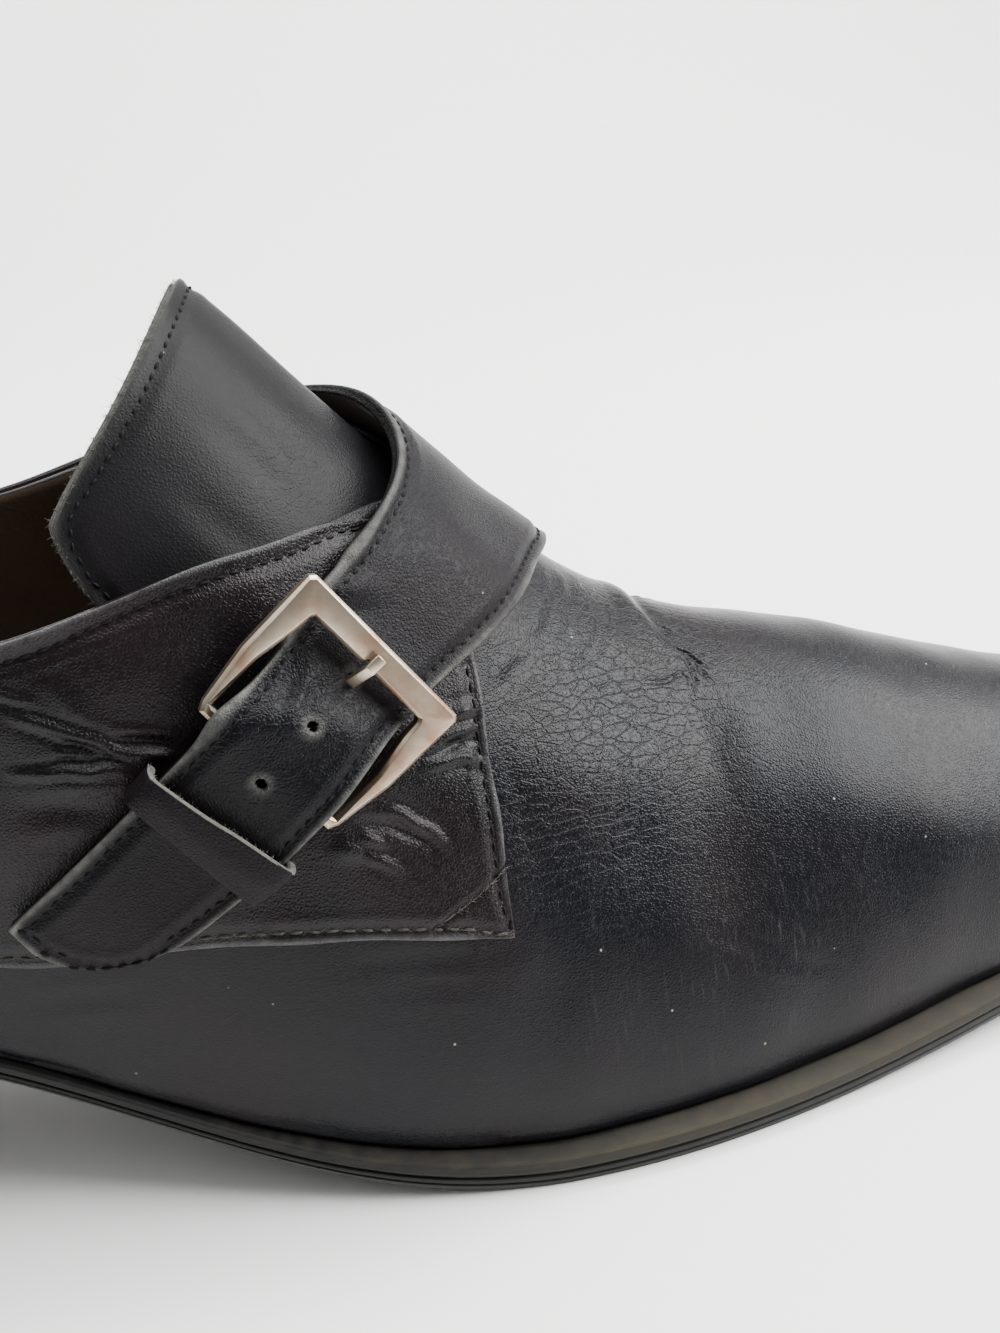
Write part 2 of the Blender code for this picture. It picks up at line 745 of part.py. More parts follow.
def make_buckle_chape(finish):
    """Tab on the quarter, under the heel bar and the keeper."""
    base = GAP + QUARTER + FACET_GAP

    def layer(height):
        grid = []
        for rib in spaced(CHAPE_LOW, CHAPE_HIGH, CHAPE_CELLS):
            row = []
            for across in spaced(CHAPE_SIDE, 1 - CHAPE_SIDE, CHAPE_CELLS):
                back_x, back_girth, front_x, front_girth = (column(rib) for column in strap_columns[:4])
                x = back_x + (front_x - back_x) * across
                row.append(skin(x, back_girth + (front_girth - back_girth) * across, height))
            grid.append(list(reversed(row)))
        return grid

    return solid("buckle_chape", [layer(base + CHAPE), layer(base)], finish)


def make_keeper(finish):
    """Loop over the strap's tail, its ends on the quarter."""
    base = GAP + QUARTER + FACET_GAP

    def layer(outside):
        grid = []
        for rib in spaced(KEEPER_LOW, KEEPER_HIGH, 2):
            lift = strap_columns[4](rib)
            over = strap_leather(rib) + FACET_GAP + (KEEPER if outside else 0.0)
            row = []
            for side in (1, -1):
                half_row = []
                for inner_past, inner_rise, outer_past, outer_rise in KEEPER_SECTION:
                    past, up = (outer_past, outer_rise) if outside else (inner_past, inner_rise)
                    height = base - lift + (over - base + lift) * up
                    half_row.append(strap_point(rib, (1 + side) / 2, height, past * side))
                row += half_row if side > 0 else list(reversed(half_row))
            grid.append(row)
        return grid

    return solid("keeper", [layer(True), layer(False)], finish)


def heel_layer(height, front, inset, top=False):
    """Heel outline at one height: the sole's own back, straight sides, hollow front."""
    grid = []
    for k in range(HEEL_ROWS + 1):
        share = 1 - math.cos(k / HEEL_ROWS * math.pi / 2)
        row = []
        for across in spaced(-1, 1, HEEL_COLUMNS):
            x = inset + (front - inset) * share
            width = (half_width(x, across) - inset) * end_round(max(x, inset), inset, LENGTH)
            hollow = BREAST_HOLLOW * share ** 3 * (1 - across * across)
            point = Vector((x - hollow, across * width, height))
            if top:
                point.z = bottom(point.x) - GAP
            row.append(point)
        grid.append(row)
    return grid


def make_heel(finish):
    top, waist, base = HEEL_INSETS
    layers = [
        heel_layer(0, HEEL_BREAST, top, top=True),
        heel_layer(HEEL_WAIST, (HEEL_BREAST + HEEL_BASE) / 2 - HEEL_WAIST_HOLLOW, waist),
        heel_layer(LIFT + GAP, HEEL_BASE, base),
    ]
    return solid("heel", layers, finish)


def make_heel_top_lift(finish):
    base = HEEL_INSETS[-1]
    layers = [
        heel_layer(LIFT, HEEL_BASE, base),
        heel_layer(LIFT_BEVEL, HEEL_BASE, base),
        heel_layer(0.0, HEEL_BASE - LIFT_BEVEL, base + LIFT_BEVEL),
    ]
    return solid("heel_top_lift", layers, finish)


def main():
    for old in list(bpy.data.objects):
        bpy.data.objects.remove(old, do_unlink=True)
    leather = material("black_leather", "1b1b1f", 0.42)
    lining = material("brown_lining", "3a2d22", 0.8)
    rubber = material("sole_rubber", "2a2928", 0.6)
    welt = material("sole_edge", "4a443c", 0.65)
    metal = material("satin_nickel", "b9b0a6", 0.32, 1.0)
    pieces = [
        make_outsole(rubber),
        make_midsole(welt),
        make_heel(leather),
        make_heel_top_lift(rubber),
        make_insole(lining),
        make_upper(leather),
        make_tongue(leather),
        make_quarter_lateral(leather),
        make_quarter_medial_strap(leather),
        make_buckle_frame(metal),
        make_buckle_prong(metal),
        make_buckle_chape(leather),
        make_keeper(leather),
    ]
    corners = np.array([vertex.co for piece in pieces for vertex in piece.data.vertices])
    centre = (corners.min(axis=0) + corners.max(axis=0)) / 2
    shoe = bpy.data.objects.new("shoe", None)
    bpy.context.collection.objects.link(shoe)
    shoe.location = (-centre[0], -centre[1], 0)
    for piece in pieces:
        piece.parent = shoe


main()
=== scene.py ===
import math
import random

import bmesh
import bpy
import numpy as np
from mathutils import Matrix, Vector
from mathutils.bvhtree import BVHTree


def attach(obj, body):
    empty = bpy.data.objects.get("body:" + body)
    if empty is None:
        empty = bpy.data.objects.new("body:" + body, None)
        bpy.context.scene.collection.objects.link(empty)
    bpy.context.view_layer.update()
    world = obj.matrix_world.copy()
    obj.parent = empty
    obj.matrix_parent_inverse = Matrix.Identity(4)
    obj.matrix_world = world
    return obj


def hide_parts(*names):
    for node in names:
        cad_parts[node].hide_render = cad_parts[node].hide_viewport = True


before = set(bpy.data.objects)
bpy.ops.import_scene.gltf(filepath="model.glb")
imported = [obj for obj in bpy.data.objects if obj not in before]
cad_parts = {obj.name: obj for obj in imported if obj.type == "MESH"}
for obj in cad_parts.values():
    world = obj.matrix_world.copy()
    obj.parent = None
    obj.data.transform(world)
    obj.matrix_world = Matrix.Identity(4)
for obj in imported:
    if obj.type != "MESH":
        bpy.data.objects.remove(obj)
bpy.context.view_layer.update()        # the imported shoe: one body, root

mm = 0.001
footMiddle = (2.8, 38.0)   # y and z, in mm, of a line along the inside of the shoe


# Small tools
def linear(hexColour):
    parts = [int(hexColour[i:i + 2], 16) / 255 for i in (0, 2, 4)]
    return (*(((c + 0.055) / 1.055) ** 2.4 if c > 0.04045 else c / 12.92 for c in parts), 1)


# Scale of a pattern whose cells measure so many mm
def per(size):
    return 1 / (size * mm)


# Other nodes' outputs are linked, and all else is set
def fill(tree, node, inputs):
    for name, value in inputs.items():
        if isinstance(value, bpy.types.NodeSocket):
            tree.links.new(value, node.inputs[name])
        elif isinstance(name, int) or name in node.inputs:
            node.inputs[name].default_value = value
        else:
            setattr(node, name, value)


# Adds a node with its settings and links, and gives back one of its outputs
def addNode(tree, kind, inputs, out=0):
    node = tree.nodes.new("ShaderNode" + kind)
    fill(tree, node, inputs)
    return node.outputs[out]


def newMaterial(name):
    made = bpy.data.materials.new(name)
    made.use_nodes = True
    return made, made.node_tree


def shade(made, inputs):
    fill(made.node_tree, made.node_tree.nodes["Principled BSDF"], inputs)
    return made


def addObject(name, data):
    made = bpy.data.objects.new(name, data)
    bpy.context.collection.objects.link(made)
    return made


def fromBmesh(bm, name):
    mesh = bpy.data.meshes.new(name)
    bm.to_mesh(mesh)
    bm.free()
    return addObject(name, mesh)


# Many small things as one joined mesh
def fromArrays(name, points, faces):
    mesh = bpy.data.meshes.new(name)
    mesh.from_pydata(points, [], faces)
    mesh.shade_smooth()
    return addObject(name, mesh)


# A strip: a profile drawn out by one step
def drawnStrip(profile, step):
    bm = bmesh.new()
    verts = [bm.verts.new(point) for point in profile]
    edges = [bm.edges.new(pair) for pair in zip(verts, verts[1:])]
    grown = bmesh.ops.extrude_edge_only(bm, edges=edges)["geom"]
    bmesh.ops.translate(bm, vec=step, verts=[v for v in grown if isinstance(v, bmesh.types.BMVert)])
    bm.normal_update()
    return bm


# Camera: the photograph's own place, a little above the outer side
photoCamera = {
    "place": (-16.3, -163.5, 135.6),   # mm
    "yaw": -11.3,                      # degrees
    "pitch": 25.7,
    "roll": -3.7,
    "lens": 35.23,                     # mm
    "sensor": 36,                      # mm, long side of the frame
}


def makeCamera(look):
    yaw, pitch, roll = (math.radians(look[key]) for key in ("yaw", "pitch", "roll"))
    right = Vector((math.cos(yaw), math.sin(yaw), 0))
    ahead = Vector((-math.sin(yaw) * math.cos(pitch), math.cos(yaw) * math.cos(pitch), -math.sin(pitch)))
    up = right.cross(ahead)
    rolledRight = math.cos(roll) * right + math.sin(roll) * up
    rolledUp = math.cos(roll) * up - math.sin(roll) * right
    data = bpy.data.cameras.new("photoCamera")
    data.lens = look["lens"]
    data.sensor_width = look["sensor"]
    data.clip_start = 0.01
    camera = addObject("photoCamera", data)
    turned = Matrix((rolledRight, rolledUp, -ahead)).transposed().to_4x4()
    turned.translation = Vector(look["place"]) * mm
    camera.matrix_world = turned
    bpy.context.scene.camera = camera


makeCamera(photoCamera)
print("camera set")


# Stage: pale floor that sweeps up behind the shoe, soft lights above, beyond the toe and on the sweep, and
# a room that is bright overhead and dim in front
studio = {
    "paper": "f4f3f2",
    "width": 3.0,        # m
    "front": -1.6,
    "back": 0.55,
    "sweep": 0.40,       # radius of the turn up
    "top": 1.5,
    "skyUp": 1.45,       # strength overhead and behind
    "skyFront": 0.10,    # strength low in front
    "softboxes": [
        # name, place and aim in m, size in m, power in W
        ("topLight", (0.05, 0.10, 0.95), (0.03, 0.0, 0.05), (0.90, 0.70), 13.0),
        ("toeLight", (0.85, -0.15, 0.65), (0.03, 0.0, 0.05), (0.82, 0.72), 30.0),
        ("backLight", (0.10, 0.30, 1.05), (0.05, 0.85, 0.20), (0.90, 0.30), 15.0),
    ],
}


def makeFloor(look):
    turn = [(look["back"] + look["sweep"] * math.sin(a), look["sweep"] * (1 - math.cos(a)))
            for a in np.linspace(0, math.pi / 2, 17)]
    profile = [(look["front"], 0.0)] + turn + [(turn[-1][0], look["top"])]
    bm = drawnStrip([(-look["width"] / 2, y, z) for y, z in profile], (look["width"], 0, 0))
    bmesh.ops.recalc_face_normals(bm, faces=bm.faces)
    floor = fromBmesh(bm, "floor")
    floor.data.shade_smooth()
    # paper: uncoated, so quite matt
    paper, _ = newMaterial("paperFloor")
    floor.data.materials.append(shade(paper, {"Base Color": linear(look["paper"]), "Roughness": 0.9}))


def makeLights(look):
    for name, place, aim, size, power in look["softboxes"]:
        data = bpy.data.lights.new(name, "AREA")
        data.shape = "RECTANGLE"
        data.size, data.size_y = size
        data.energy = power
        lamp = addObject(name, data)
        lamp.location = place
        lamp.rotation_euler = (Vector(aim) - Vector(place)).to_track_quat("-Z", "Y").to_euler()
    world = bpy.data.worlds.new("studio")
    world.use_nodes = True
    tree = world.node_tree
    way = addNode(tree, "SeparateXYZ", {"Vector": addNode(tree, "TexCoord", {}, "Generated")}).node.outputs
    # height counts, and so does lying behind the shoe
    lift = addNode(tree, "Math", {"operation": "MULTIPLY_ADD", 0: way["Y"], 1: 0.6, 2: way["Z"]})
    strength = addNode(tree, "MapRange", {"interpolation_type": "SMOOTHSTEP", "Value": lift,
                                          "From Min": 0.15, "From Max": 0.85,
                                          "To Min": look["skyFront"], "To Max": look["skyUp"]})
    fill(tree, tree.nodes["Background"], {"Color": (1, 1, 1, 1), "Strength": strength})
    bpy.context.scene.world = world


makeFloor(studio)
makeLights(studio)
print("stage set")


# Black calf leather: drum-dyed and finished, so a soft gloss over a fine pebbled grain that breaks
# into a net of wrinkles where the foot bends it
calfColumns = ("black", "tint", "wear", "shine", "rough", "grain", "height")
calfLooks = {
    # main colour, those of brownish patches and rubbed edges, specular level, roughness, and size and height
    # of the grain in mm
    "smoothCalf": ("0c0d11", "120f11", "4c4b4d", 0.14, 0.30, 0.45, 0.026),
    "softCalf": ("0b0b0d", "110f11", "5a5a54", 0.12, 0.42, 0.50, 0.018),
    "strapCalf": ("0b0b0e", "130f11", "71716d", 0.10, 0.37, 0.45, 0.040),
    "shinyCalf": ("09080a", "160d10", "5c5c5c", 0.18, 0.32, 0.45, 0.034),
    "heelCalf": ("0c0c0e", "100f10", "3c3b3c", 0.18, 0.34, 0.60, 0.014),
}
calfMarks = {
    "patch": 22, "rub": 1.6, "streak": 0.7, "warp": 2.2, "wave": 5,   # sizes in mm
    "push": 0.5, "waveHeight": 0.12,                                  # mm
    "dustSpacing": 4.2,
    "scuff": "2c2c2d", "dust": "8d8578",
    "nets": [
        # cell and depth in mm, share of a cell that a line takes, stretch along x, y and z
        (0.8, 0.024, 0.14, (0.6, 1.0, 1.2)),
        (1.7, 0.055, 0.075, (0.42, 0.9, 1.25)),
    ],
}


def leatherColour(tree, place, look, patches):
    patch = addNode(tree, "MapRange", {"Value": patches, "From Min": 0.4, "From Max": 0.68})
    # edges rub grey in an uneven line
    edge = addNode(tree, "Attribute", {"attribute_name": "edge"}, "Fac")
    rub = addNode(tree, "TexNoise", {"Vector": place, "Scale": per(calfMarks["rub"]), "Detail": 3})
    rubbed = addNode(tree, "Math", {"operation": "MULTIPLY", 0: edge, 1: rub})
    # scuffs: faint upright streaks, only where the attribute asks for them
    scuff = addNode(tree, "Attribute", {"attribute_name": "scuff"}, "Fac")
    upright = addNode(tree, "Mapping", {"Vector": place, "Scale": (1.0, 0.3, 0.05)})
    streaks = addNode(tree, "TexNoise", {"Vector": upright, "Scale": per(calfMarks["streak"]), "Detail": 2})
    streak = addNode(tree, "MapRange", {"Value": streaks, "From Min": 0.60, "From Max": 0.80})
    scuffed = addNode(tree, "Math", {"operation": "MULTIPLY", 0: streak, 1: scuff})
    # specks of dust, about 0.3 mm across, drawn a little larger than life so that they show
    specks = addNode(tree, "TexVoronoi", {"Vector": place, "Scale": per(calfMarks["dustSpacing"])})
    speck = addNode(tree, "MapRange", {"Value": specks, "From Min": 0.05, "From Max": 0.025})
    chosen = addNode(tree, "SeparateColor", {"Color": specks.node.outputs["Color"]}, "Red")
    kept = addNode(tree, "Math", {"operation": "GREATER_THAN", 0: chosen, 1: 0.62})
    dust = addNode(tree, "Math", {"operation": "MULTIPLY", 0: speck, 1: kept})
    colour = linear(look["black"])
    for share, tone in ((patch, look["tint"]), (rubbed, look["wear"]), (scuffed, calfMarks["scuff"]),
                        (dust, calfMarks["dust"])):
        colour = addNode(tree, "Mix", {"data_type": "RGBA", 0: share, 6: colour, 7: linear(tone)}, 2)
    return colour


# Grain: pebbles warped by noise, then two nets of wrinkles in the bending zone, then slow waves
def leatherGrain(tree, place, look, flex):
    warp = addNode(tree, "TexNoise", {"Vector": place, "Scale": per(calfMarks["warp"]), "Detail": 3}, "Color")
    push = addNode(tree, "VectorMath", {"operation": "SCALE", 0: warp, "Scale": calfMarks["push"] * mm})
    warped = addNode(tree, "VectorMath", {"operation": "ADD", 0: place, 1: push})
    pebbles = addNode(tree, "TexVoronoi", {"feature": "DISTANCE_TO_EDGE", "Vector": warped,
                                           "Scale": per(look["grain"])})
    pebble = addNode(tree, "MapRange", {"interpolation_type": "SMOOTHSTEP", "Value": pebbles,
                                        "From Max": 0.35})
    normal = addNode(tree, "Bump", {"Height": pebble, "Strength": 1.0, "Distance": look["height"] * mm})
    for cell, depth, width, stretch in calfMarks["nets"]:
        drawn = addNode(tree, "Mapping", {"Vector": warped, "Scale": stretch})
        net = addNode(tree, "TexVoronoi", {"feature": "DISTANCE_TO_EDGE", "Vector": drawn, "Scale": per(cell)})
        lines = addNode(tree, "MapRange", {"interpolation_type": "SMOOTHSTEP", "Value": net,
                                           "From Max": width})
        height = addNode(tree, "Math", {"operation": "MULTIPLY", 0: lines, 1: flex})
        normal = addNode(tree, "Bump", {"Height": height, "Normal": normal, "Strength": 1.0,
                                        "Distance": depth * mm})
    waves = addNode(tree, "TexNoise", {"Vector": place, "Scale": per(calfMarks["wave"]), "Detail": 3})
    return addNode(tree, "Bump", {"Height": waves, "Normal": normal, "Strength": 0.5,
                                  "Distance": calfMarks["waveHeight"] * mm})


def calfLeather(name, look):
    made, tree = newMaterial(name)
    place = addNode(tree, "TexCoord", {}, "Object")
    flex = addNode(tree, "Attribute", {"attribute_name": "flex"}, "Fac")
    patches = addNode(tree, "TexNoise", {"Vector": place, "Scale": per(calfMarks["patch"]), "Detail": 4})
    # polish is uneven, and the bent zone shines more
    cloudy = addNode(tree, "MapRange", {"Value": patches, "To Min": look["rough"] - 0.07,
                                        "To Max": look["rough"] + 0.08})
    rough = addNode(tree, "Math", {"operation": "MULTIPLY_ADD", 0: flex, 1: -0.12, 2: cloudy})
    return shade(made, {"Base Color": leatherColour(tree, place, look, patches), "Roughness": rough,
                        "Normal": leatherGrain(tree, place, look, flex), "IOR": 1.5,
                        "Specular IOR Level": look["shine"]})


# Plain finishes: noise of a size in mm runs between two tones, and noise may lift the surface too, where
# lift gives its size, detail, strength and height
fibrous = {"size": 0.7, "detail": 5, "lift": (0.7, 5, 1.0, 0.2),
           "same": {"Roughness": 0.95, "Sheen Weight": 0.1}}
plainLooks = {
    # lining leather: undyed split, matt and brown, in random darker and lighter patches
    "lining": {"name": "brownLiningLeather", "tones": ("2b1d12", "48341f"), "size": 14, "detail": 6,
               "lift": (0.5, 3, 0.8, 0.08), "same": {"Roughness": 0.85, "Sheen Weight": 0.15}},
    # cut edges of leather and the fibres that stand out of them: grey, quite matt
    "cutEdge": {"name": "cutLeatherEdge", "tones": ("121211", "33332d"), **fibrous},
    "rawEdge": {"name": "rawLeatherEdge", "tones": ("2a2a26", "63635a"), **fibrous},
    "looseFibre": {"name": "looseLeatherFibre", "tones": ("2b2b27", "5c5c52"), **fibrous},
    # waxed sewing thread: two twisted strands, slightly shiny
    "blackThread": {"name": "blackThread", "tones": ("040405", "0a0a0b"), "size": 0.4, "detail": 2,
                    "same": {"Roughness": 0.6, "Specular IOR Level": 0.12}},
    "greyThread": {"name": "greyThread", "tones": ("181715", "504c45"), "size": 0.4, "detail": 2,
                   "same": {"Roughness": 0.8, "Specular IOR Level": 0.12}},
    # sole rubber: moulded, matt dark grey with fine drag marks
    "rubber": {"name": "darkSoleRubber", "tones": ("191a19", "2a2b28"), "size": 1.0, "detail": 4,
               "stretch": (0.2, 0.2, 1.0), "lift": (1.0, 4, 0.5, 0.06),
               "same": {"Roughness": 0.6, "Specular IOR Level": 0.25}},
}


def plainFinish(look):
    made, tree = newMaterial(look["name"])
    place = addNode(tree, "TexCoord", {}, "Object")
    if "stretch" in look:
        place = addNode(tree, "Mapping", {"Vector": place, "Scale": look["stretch"]})
    marks = addNode(tree, "TexNoise", {"Vector": place, "Scale": per(look["size"]), "Detail": look["detail"]})
    dark, light = (linear(tone) for tone in look["tones"])
    tone = addNode(tree, "Mix", {"data_type": "RGBA", 0: marks, 6: dark, 7: light}, 2)
    shade(made, {"Base Color": tone})
    if "lift" in look:
        size, detail, strength, height = look["lift"]
        nap = addNode(tree, "TexNoise", {"Vector": place, "Scale": per(size), "Detail": detail})
        bump = addNode(tree, "Bump", {"Height": nap, "Strength": strength, "Distance": height * mm})
        shade(made, {"Normal": bump})
    return shade(made, look["same"])


# Sole edge: leather board trimmed, inked and waxed; at the forefoot the ink has worn to brown on the rounded
# upper rim, while the flat top stays darker, partly ink and partly painted shade under the overhanging upper
def inkedEdge():
    made, tree = newMaterial("inkedSoleEdge")
    place = addNode(tree, "TexCoord", {}, "Object")
    # rim is high where the top turns into the side and lower on the flat top; the darker flat top is partly
    # painted shade under the upper
    rim = addNode(tree, "Attribute", {"attribute_name": "rim"}, "Fac")
    drawn = addNode(tree, "Mapping", {"Vector": place, "Scale": (0.25, 0.25, 1.0)})
    grit = addNode(tree, "TexNoise", {"Vector": drawn, "Scale": per(0.8), "Detail": 5})
    # how bare the ink is: brown wear on the rim, and on the flat top a darker tone that is partly painted
    # shade
    bareRimAndTopShade = addNode(tree, "Math", {"operation": "MULTIPLY_ADD", 0: rim, 1: 0.9, 2: grit})
    worn = addNode(tree, "MapRange", {"Value": bareRimAndTopShade, "From Min": 0.55, "From Max": 1.3})
    tone = addNode(tree, "Mix", {"data_type": "RGBA", 0: worn, 6: linear("121212"), 7: linear("36322a")}, 2)
    bump = addNode(tree, "Bump", {"Height": grit, "Strength": 0.7, "Distance": 0.10 * mm})
    polish = addNode(tree, "MapRange", {"Value": worn, "To Min": 0.45, "To Max": 0.85})
    return shade(made, {"Base Color": tone, "Normal": bump, "Roughness": polish, "Specular IOR Level": 0.15})


# Nickel-plated zinc: cast and tumbled to satin; its tone runs in random patches from pale cream to pinkish
# brown
def satinNickel():
    made, tree = newMaterial("satinNickelPlate")
    place = addNode(tree, "TexCoord", {}, "Object")
    # random patches of tone from pale cream to pinkish brown; the roughness follows them too
    tonePatches = addNode(tree, "TexNoise", {"Vector": place, "Scale": per(4), "Detail": 5})
    pinkishShare = addNode(tree, "MapRange", {"Value": tonePatches, "From Min": 0.35, "From Max": 0.75})
    tone = addNode(tree, "Mix", {"data_type": "RGBA", 0: pinkishShare, 6: linear("c2b6a3"),
                                 7: linear("93735f")}, 2)
    scratches = addNode(tree, "TexNoise", {"Vector": place, "Scale": per(0.35), "Detail": 3})
    bump = addNode(tree, "Bump", {"Height": scratches, "Strength": 0.35, "Distance": 0.03 * mm})
    polish = addNode(tree, "MapRange", {"Value": tonePatches, "To Min": 0.26, "To Max": 0.42})
    return shade(made, {"Base Color": tone, "Normal": bump, "Roughness": polish, "Metallic": 1.0})


finish = {name: calfLeather(name, dict(zip(calfColumns, row))) for name, row in calfLooks.items()}
finish |= {name: plainFinish(look) for name, look in plainLooks.items()}
finish |= {"inkedEdge": inkedEdge(), "nickel": satinNickel()}
print("materials made:", len(finish))


# Copies of the CAD nodes, merged and turned back into quads
def quadCopy(node):
    bm = bmesh.new()
    bm.from_mesh(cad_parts[node].data)
    bmesh.ops.remove_doubles(bm, verts=bm.verts, dist=0.01 * mm)
    bmesh.ops.join_triangles(bm, faces=bm.faces, angle_face_threshold=math.radians(40),
                             angle_shape_threshold=math.pi)
    bm.normal_update()
    return bm


def isHard(edge, degrees=45):
    return len(edge.link_faces) == 2 and edge.calc_face_angle() > math.radians(degrees)


# Groups of faces that no hard edge divides, the largest first
def faceGroups(bm):
    groups, seen = [], set()
    for start in bm.faces:
        if start in seen:
            continue
        group, waiting = [], [start]
        seen.add(start)
        while waiting:
            face = waiting.pop()
            group.append(face)
            for edge in face.edges:
                if isHard(edge):
                    continue
                for other in edge.link_faces:
                    if other not in seen:
                        seen.add(other)
                        waiting.append(other)
        groups.append(group)
    return sorted(groups, key=lambda group: -sum(face.calc_area() for face in group))


def outwardShare(group):
    total = 0.0
    for face in group:
        centre = face.calc_center_median()
        away = Vector((0, centre.y - footMiddle[0] * mm, centre.z - footMiddle[1] * mm))
        total += face.normal.dot(away.normalized()) * face.calc_area()
    return total


def applyModifiers(piece):
    graph = bpy.context.evaluated_depsgraph_get()
    done = bpy.data.meshes.new_from_object(piece.evaluated_get(graph))
    piece.modifiers.clear()
    piece.data = done
    done.name = piece.name
    done.shade_smooth()


# Mesh to object, with its Subdivision Surface applied; hold is how firmly edges harder than degrees stay
def rounded(bm, name, levels, hold, degrees=30, soft=()):
    firmness = bm.edges.layers.float.new("crease_edge")
    for edge in bm.edges:
        if isHard(edge, degrees) and edge not in soft:
            edge[firmness] = hold
    slots = 1 + max(face.material_index for face in bm.faces)
    piece = fromBmesh(bm, name)
    for _ in range(slots):
        piece.data.materials.append(None)   # filled by dress
    smoother = piece.modifiers.new("rounding", "SUBSURF")
    smoother.levels = smoother.render_levels = levels
    applyModifiers(piece)
    return piece


def dress(piece, node, materials):
    slots = piece.data.materials
    for number, material in enumerate(materials):
        if number < len(slots):
            slots[number] = finish[material]
        else:
            slots.append(finish[material])
    print(piece.name, "triangles:", sum(len(face.vertices) - 2 for face in piece.data.polygons))
    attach(piece, "root")
    if node:
        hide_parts(node)


def attribute(piece, name, values):
    layer = piece.data.attributes.get(name) or piece.data.attributes.new(name, "FLOAT", "POINT")
    layer.data.foreach_set("value", np.asarray(values, np.float32))


def readAttribute(piece, name):
    values = np.zeros(len(piece.data.vertices), np.float32)
    piece.data.attributes[name].data.foreach_get("value", values)
    return values


def places(piece):
    flat = np.zeros(len(piece.data.vertices) * 3)
    piece.data.vertices.foreach_get("co", flat)
    return flat.reshape(-1, 3)


def normals(piece):
    flat = np.zeros(len(piece.data.vertices) * 3)
    piece.data.vertex_normals.foreach_get("vector", flat)
    return flat.reshape(-1, 3)


def movePoints(piece, points):
    piece.data.vertices.foreach_set("co", points.ravel())
    piece.data.update()


def surfaceTree(piece):
    return BVHTree.FromObject(piece, bpy.context.evaluated_depsgraph_get())


# Smooth curve through points, with a point about every step
def smoothRun(points, step, closed=False):
    points = np.asarray(points, float)
    if closed:
        padded = np.vstack([points[-1], points, points[:2]])
    else:
        padded = np.vstack([2 * points[0] - points[1], points, 2 * points[-1] - points[-2]])
    run = []
    for a, b, c, d in zip(padded, padded[1:], padded[2:], padded[3:]):
        count = max(int(np.linalg.norm(c - b) / step), 1)
        for t in np.arange(count) / count:
            run.append(0.5 * (2 * b + (c - a) * t + (2 * a - 5 * b + 4 * c - d) * t ** 2
                              + (3 * b - a - 3 * c + d) * t ** 3))
    if not closed:
        run.append(points[-1])
    return np.array(run)


# Outer rim of a face group as one ordered loop of points, with a hint at each of where inside lies, and the
# vertices of its holes
def rimLoop(group):
    inside = set(group)
    ring = {}
    for face in group:
        for edge in face.edges:
            if sum(other in inside for other in edge.link_faces) == 1:
                a, b = edge.verts
                ring.setdefault(a, []).append(b)
                ring.setdefault(b, []).append(a)
    loops, seen = [], set()
    for start in ring:
        if start in seen:
            continue
        loop, vert, last = [], start, None
        while vert not in seen:
            seen.add(vert)
            loop.append(vert)
            onward = [other for other in ring[vert] if other is not last and other not in seen]
            last = vert
            if not onward:
                break
            vert = onward[0]
        loops.append(loop)
    loops.sort(key=len)
    longest = loops.pop()
    hints = []
    for vert in longest:
        middle = Vector()
        near = [face for face in vert.link_faces if face in inside]
        for face in near:
            middle += face.calc_center_median() / len(near)
        hints.append(middle - vert.co)
    return np.array([vert.co for vert in longest]), np.array(hints), loops


def nearestTo(points, place):
    return int(np.argmin(np.linalg.norm(points - place, axis=1)))


# The part of a loop between two places that passes a third one, all in mm
def runBetween(loop, start, via, end):
    first, middle, last = (nearestTo(loop, np.array(place) * mm) for place in (start, via, end))
    count = len(loop)
    ahead = [(first + k) % count for k in range((last - first) % count + 1)]
    if middle in ahead:
        return ahead
    return [(first - k) % count for k in range((first - last) % count + 1)]


# A line that runs along a rim, some way in from it, close to the piece's surface
def insetRun(loop, hints, tree, inset):
    run = []
    for point, tangent, hint in zip(loop, np.gradient(loop, axis=0), hints):
        normal = tree.find_nearest(Vector(point + hint * 0.2))[1]
        inward = np.cross(np.array(normal), tangent)
        inward *= np.sign(inward @ hint) / max(np.linalg.norm(inward), 1e-9)
        run.append(point + inward * inset * mm)
    run = np.array(run)
    for _ in range(6):
        run[1:-1] = (run[:-2] + 2 * run[1:-1] + run[2:]) / 4
    return run


def lengthsAlong(run):
    return np.concatenate([[0], np.cumsum(np.linalg.norm(np.diff(run, axis=0), axis=1))])


# Points set evenly along a run, with direction and surface normal
def evenly(run, tree, pitch):
    lengths = lengthsAlong(run)
    count = int(lengths[-1] / (pitch * mm))
    marks = (np.arange(count) + 0.5) * lengths[-1] / count
    points, ahead = (np.stack([np.interp(at, lengths, run[:, axis]) for axis in range(3)], axis=1)
                     for at in (marks, marks + 0.3 * mm))
    placed = []
    for point, nextPoint in zip(points, ahead):
        hit, normal, _, _ = tree.find_nearest(Vector(point))
        tangent = Vector(nextPoint - point)
        tangent = (tangent - normal * tangent.dot(normal)).normalized()
        placed.append((hit, tangent, normal))
    return placed


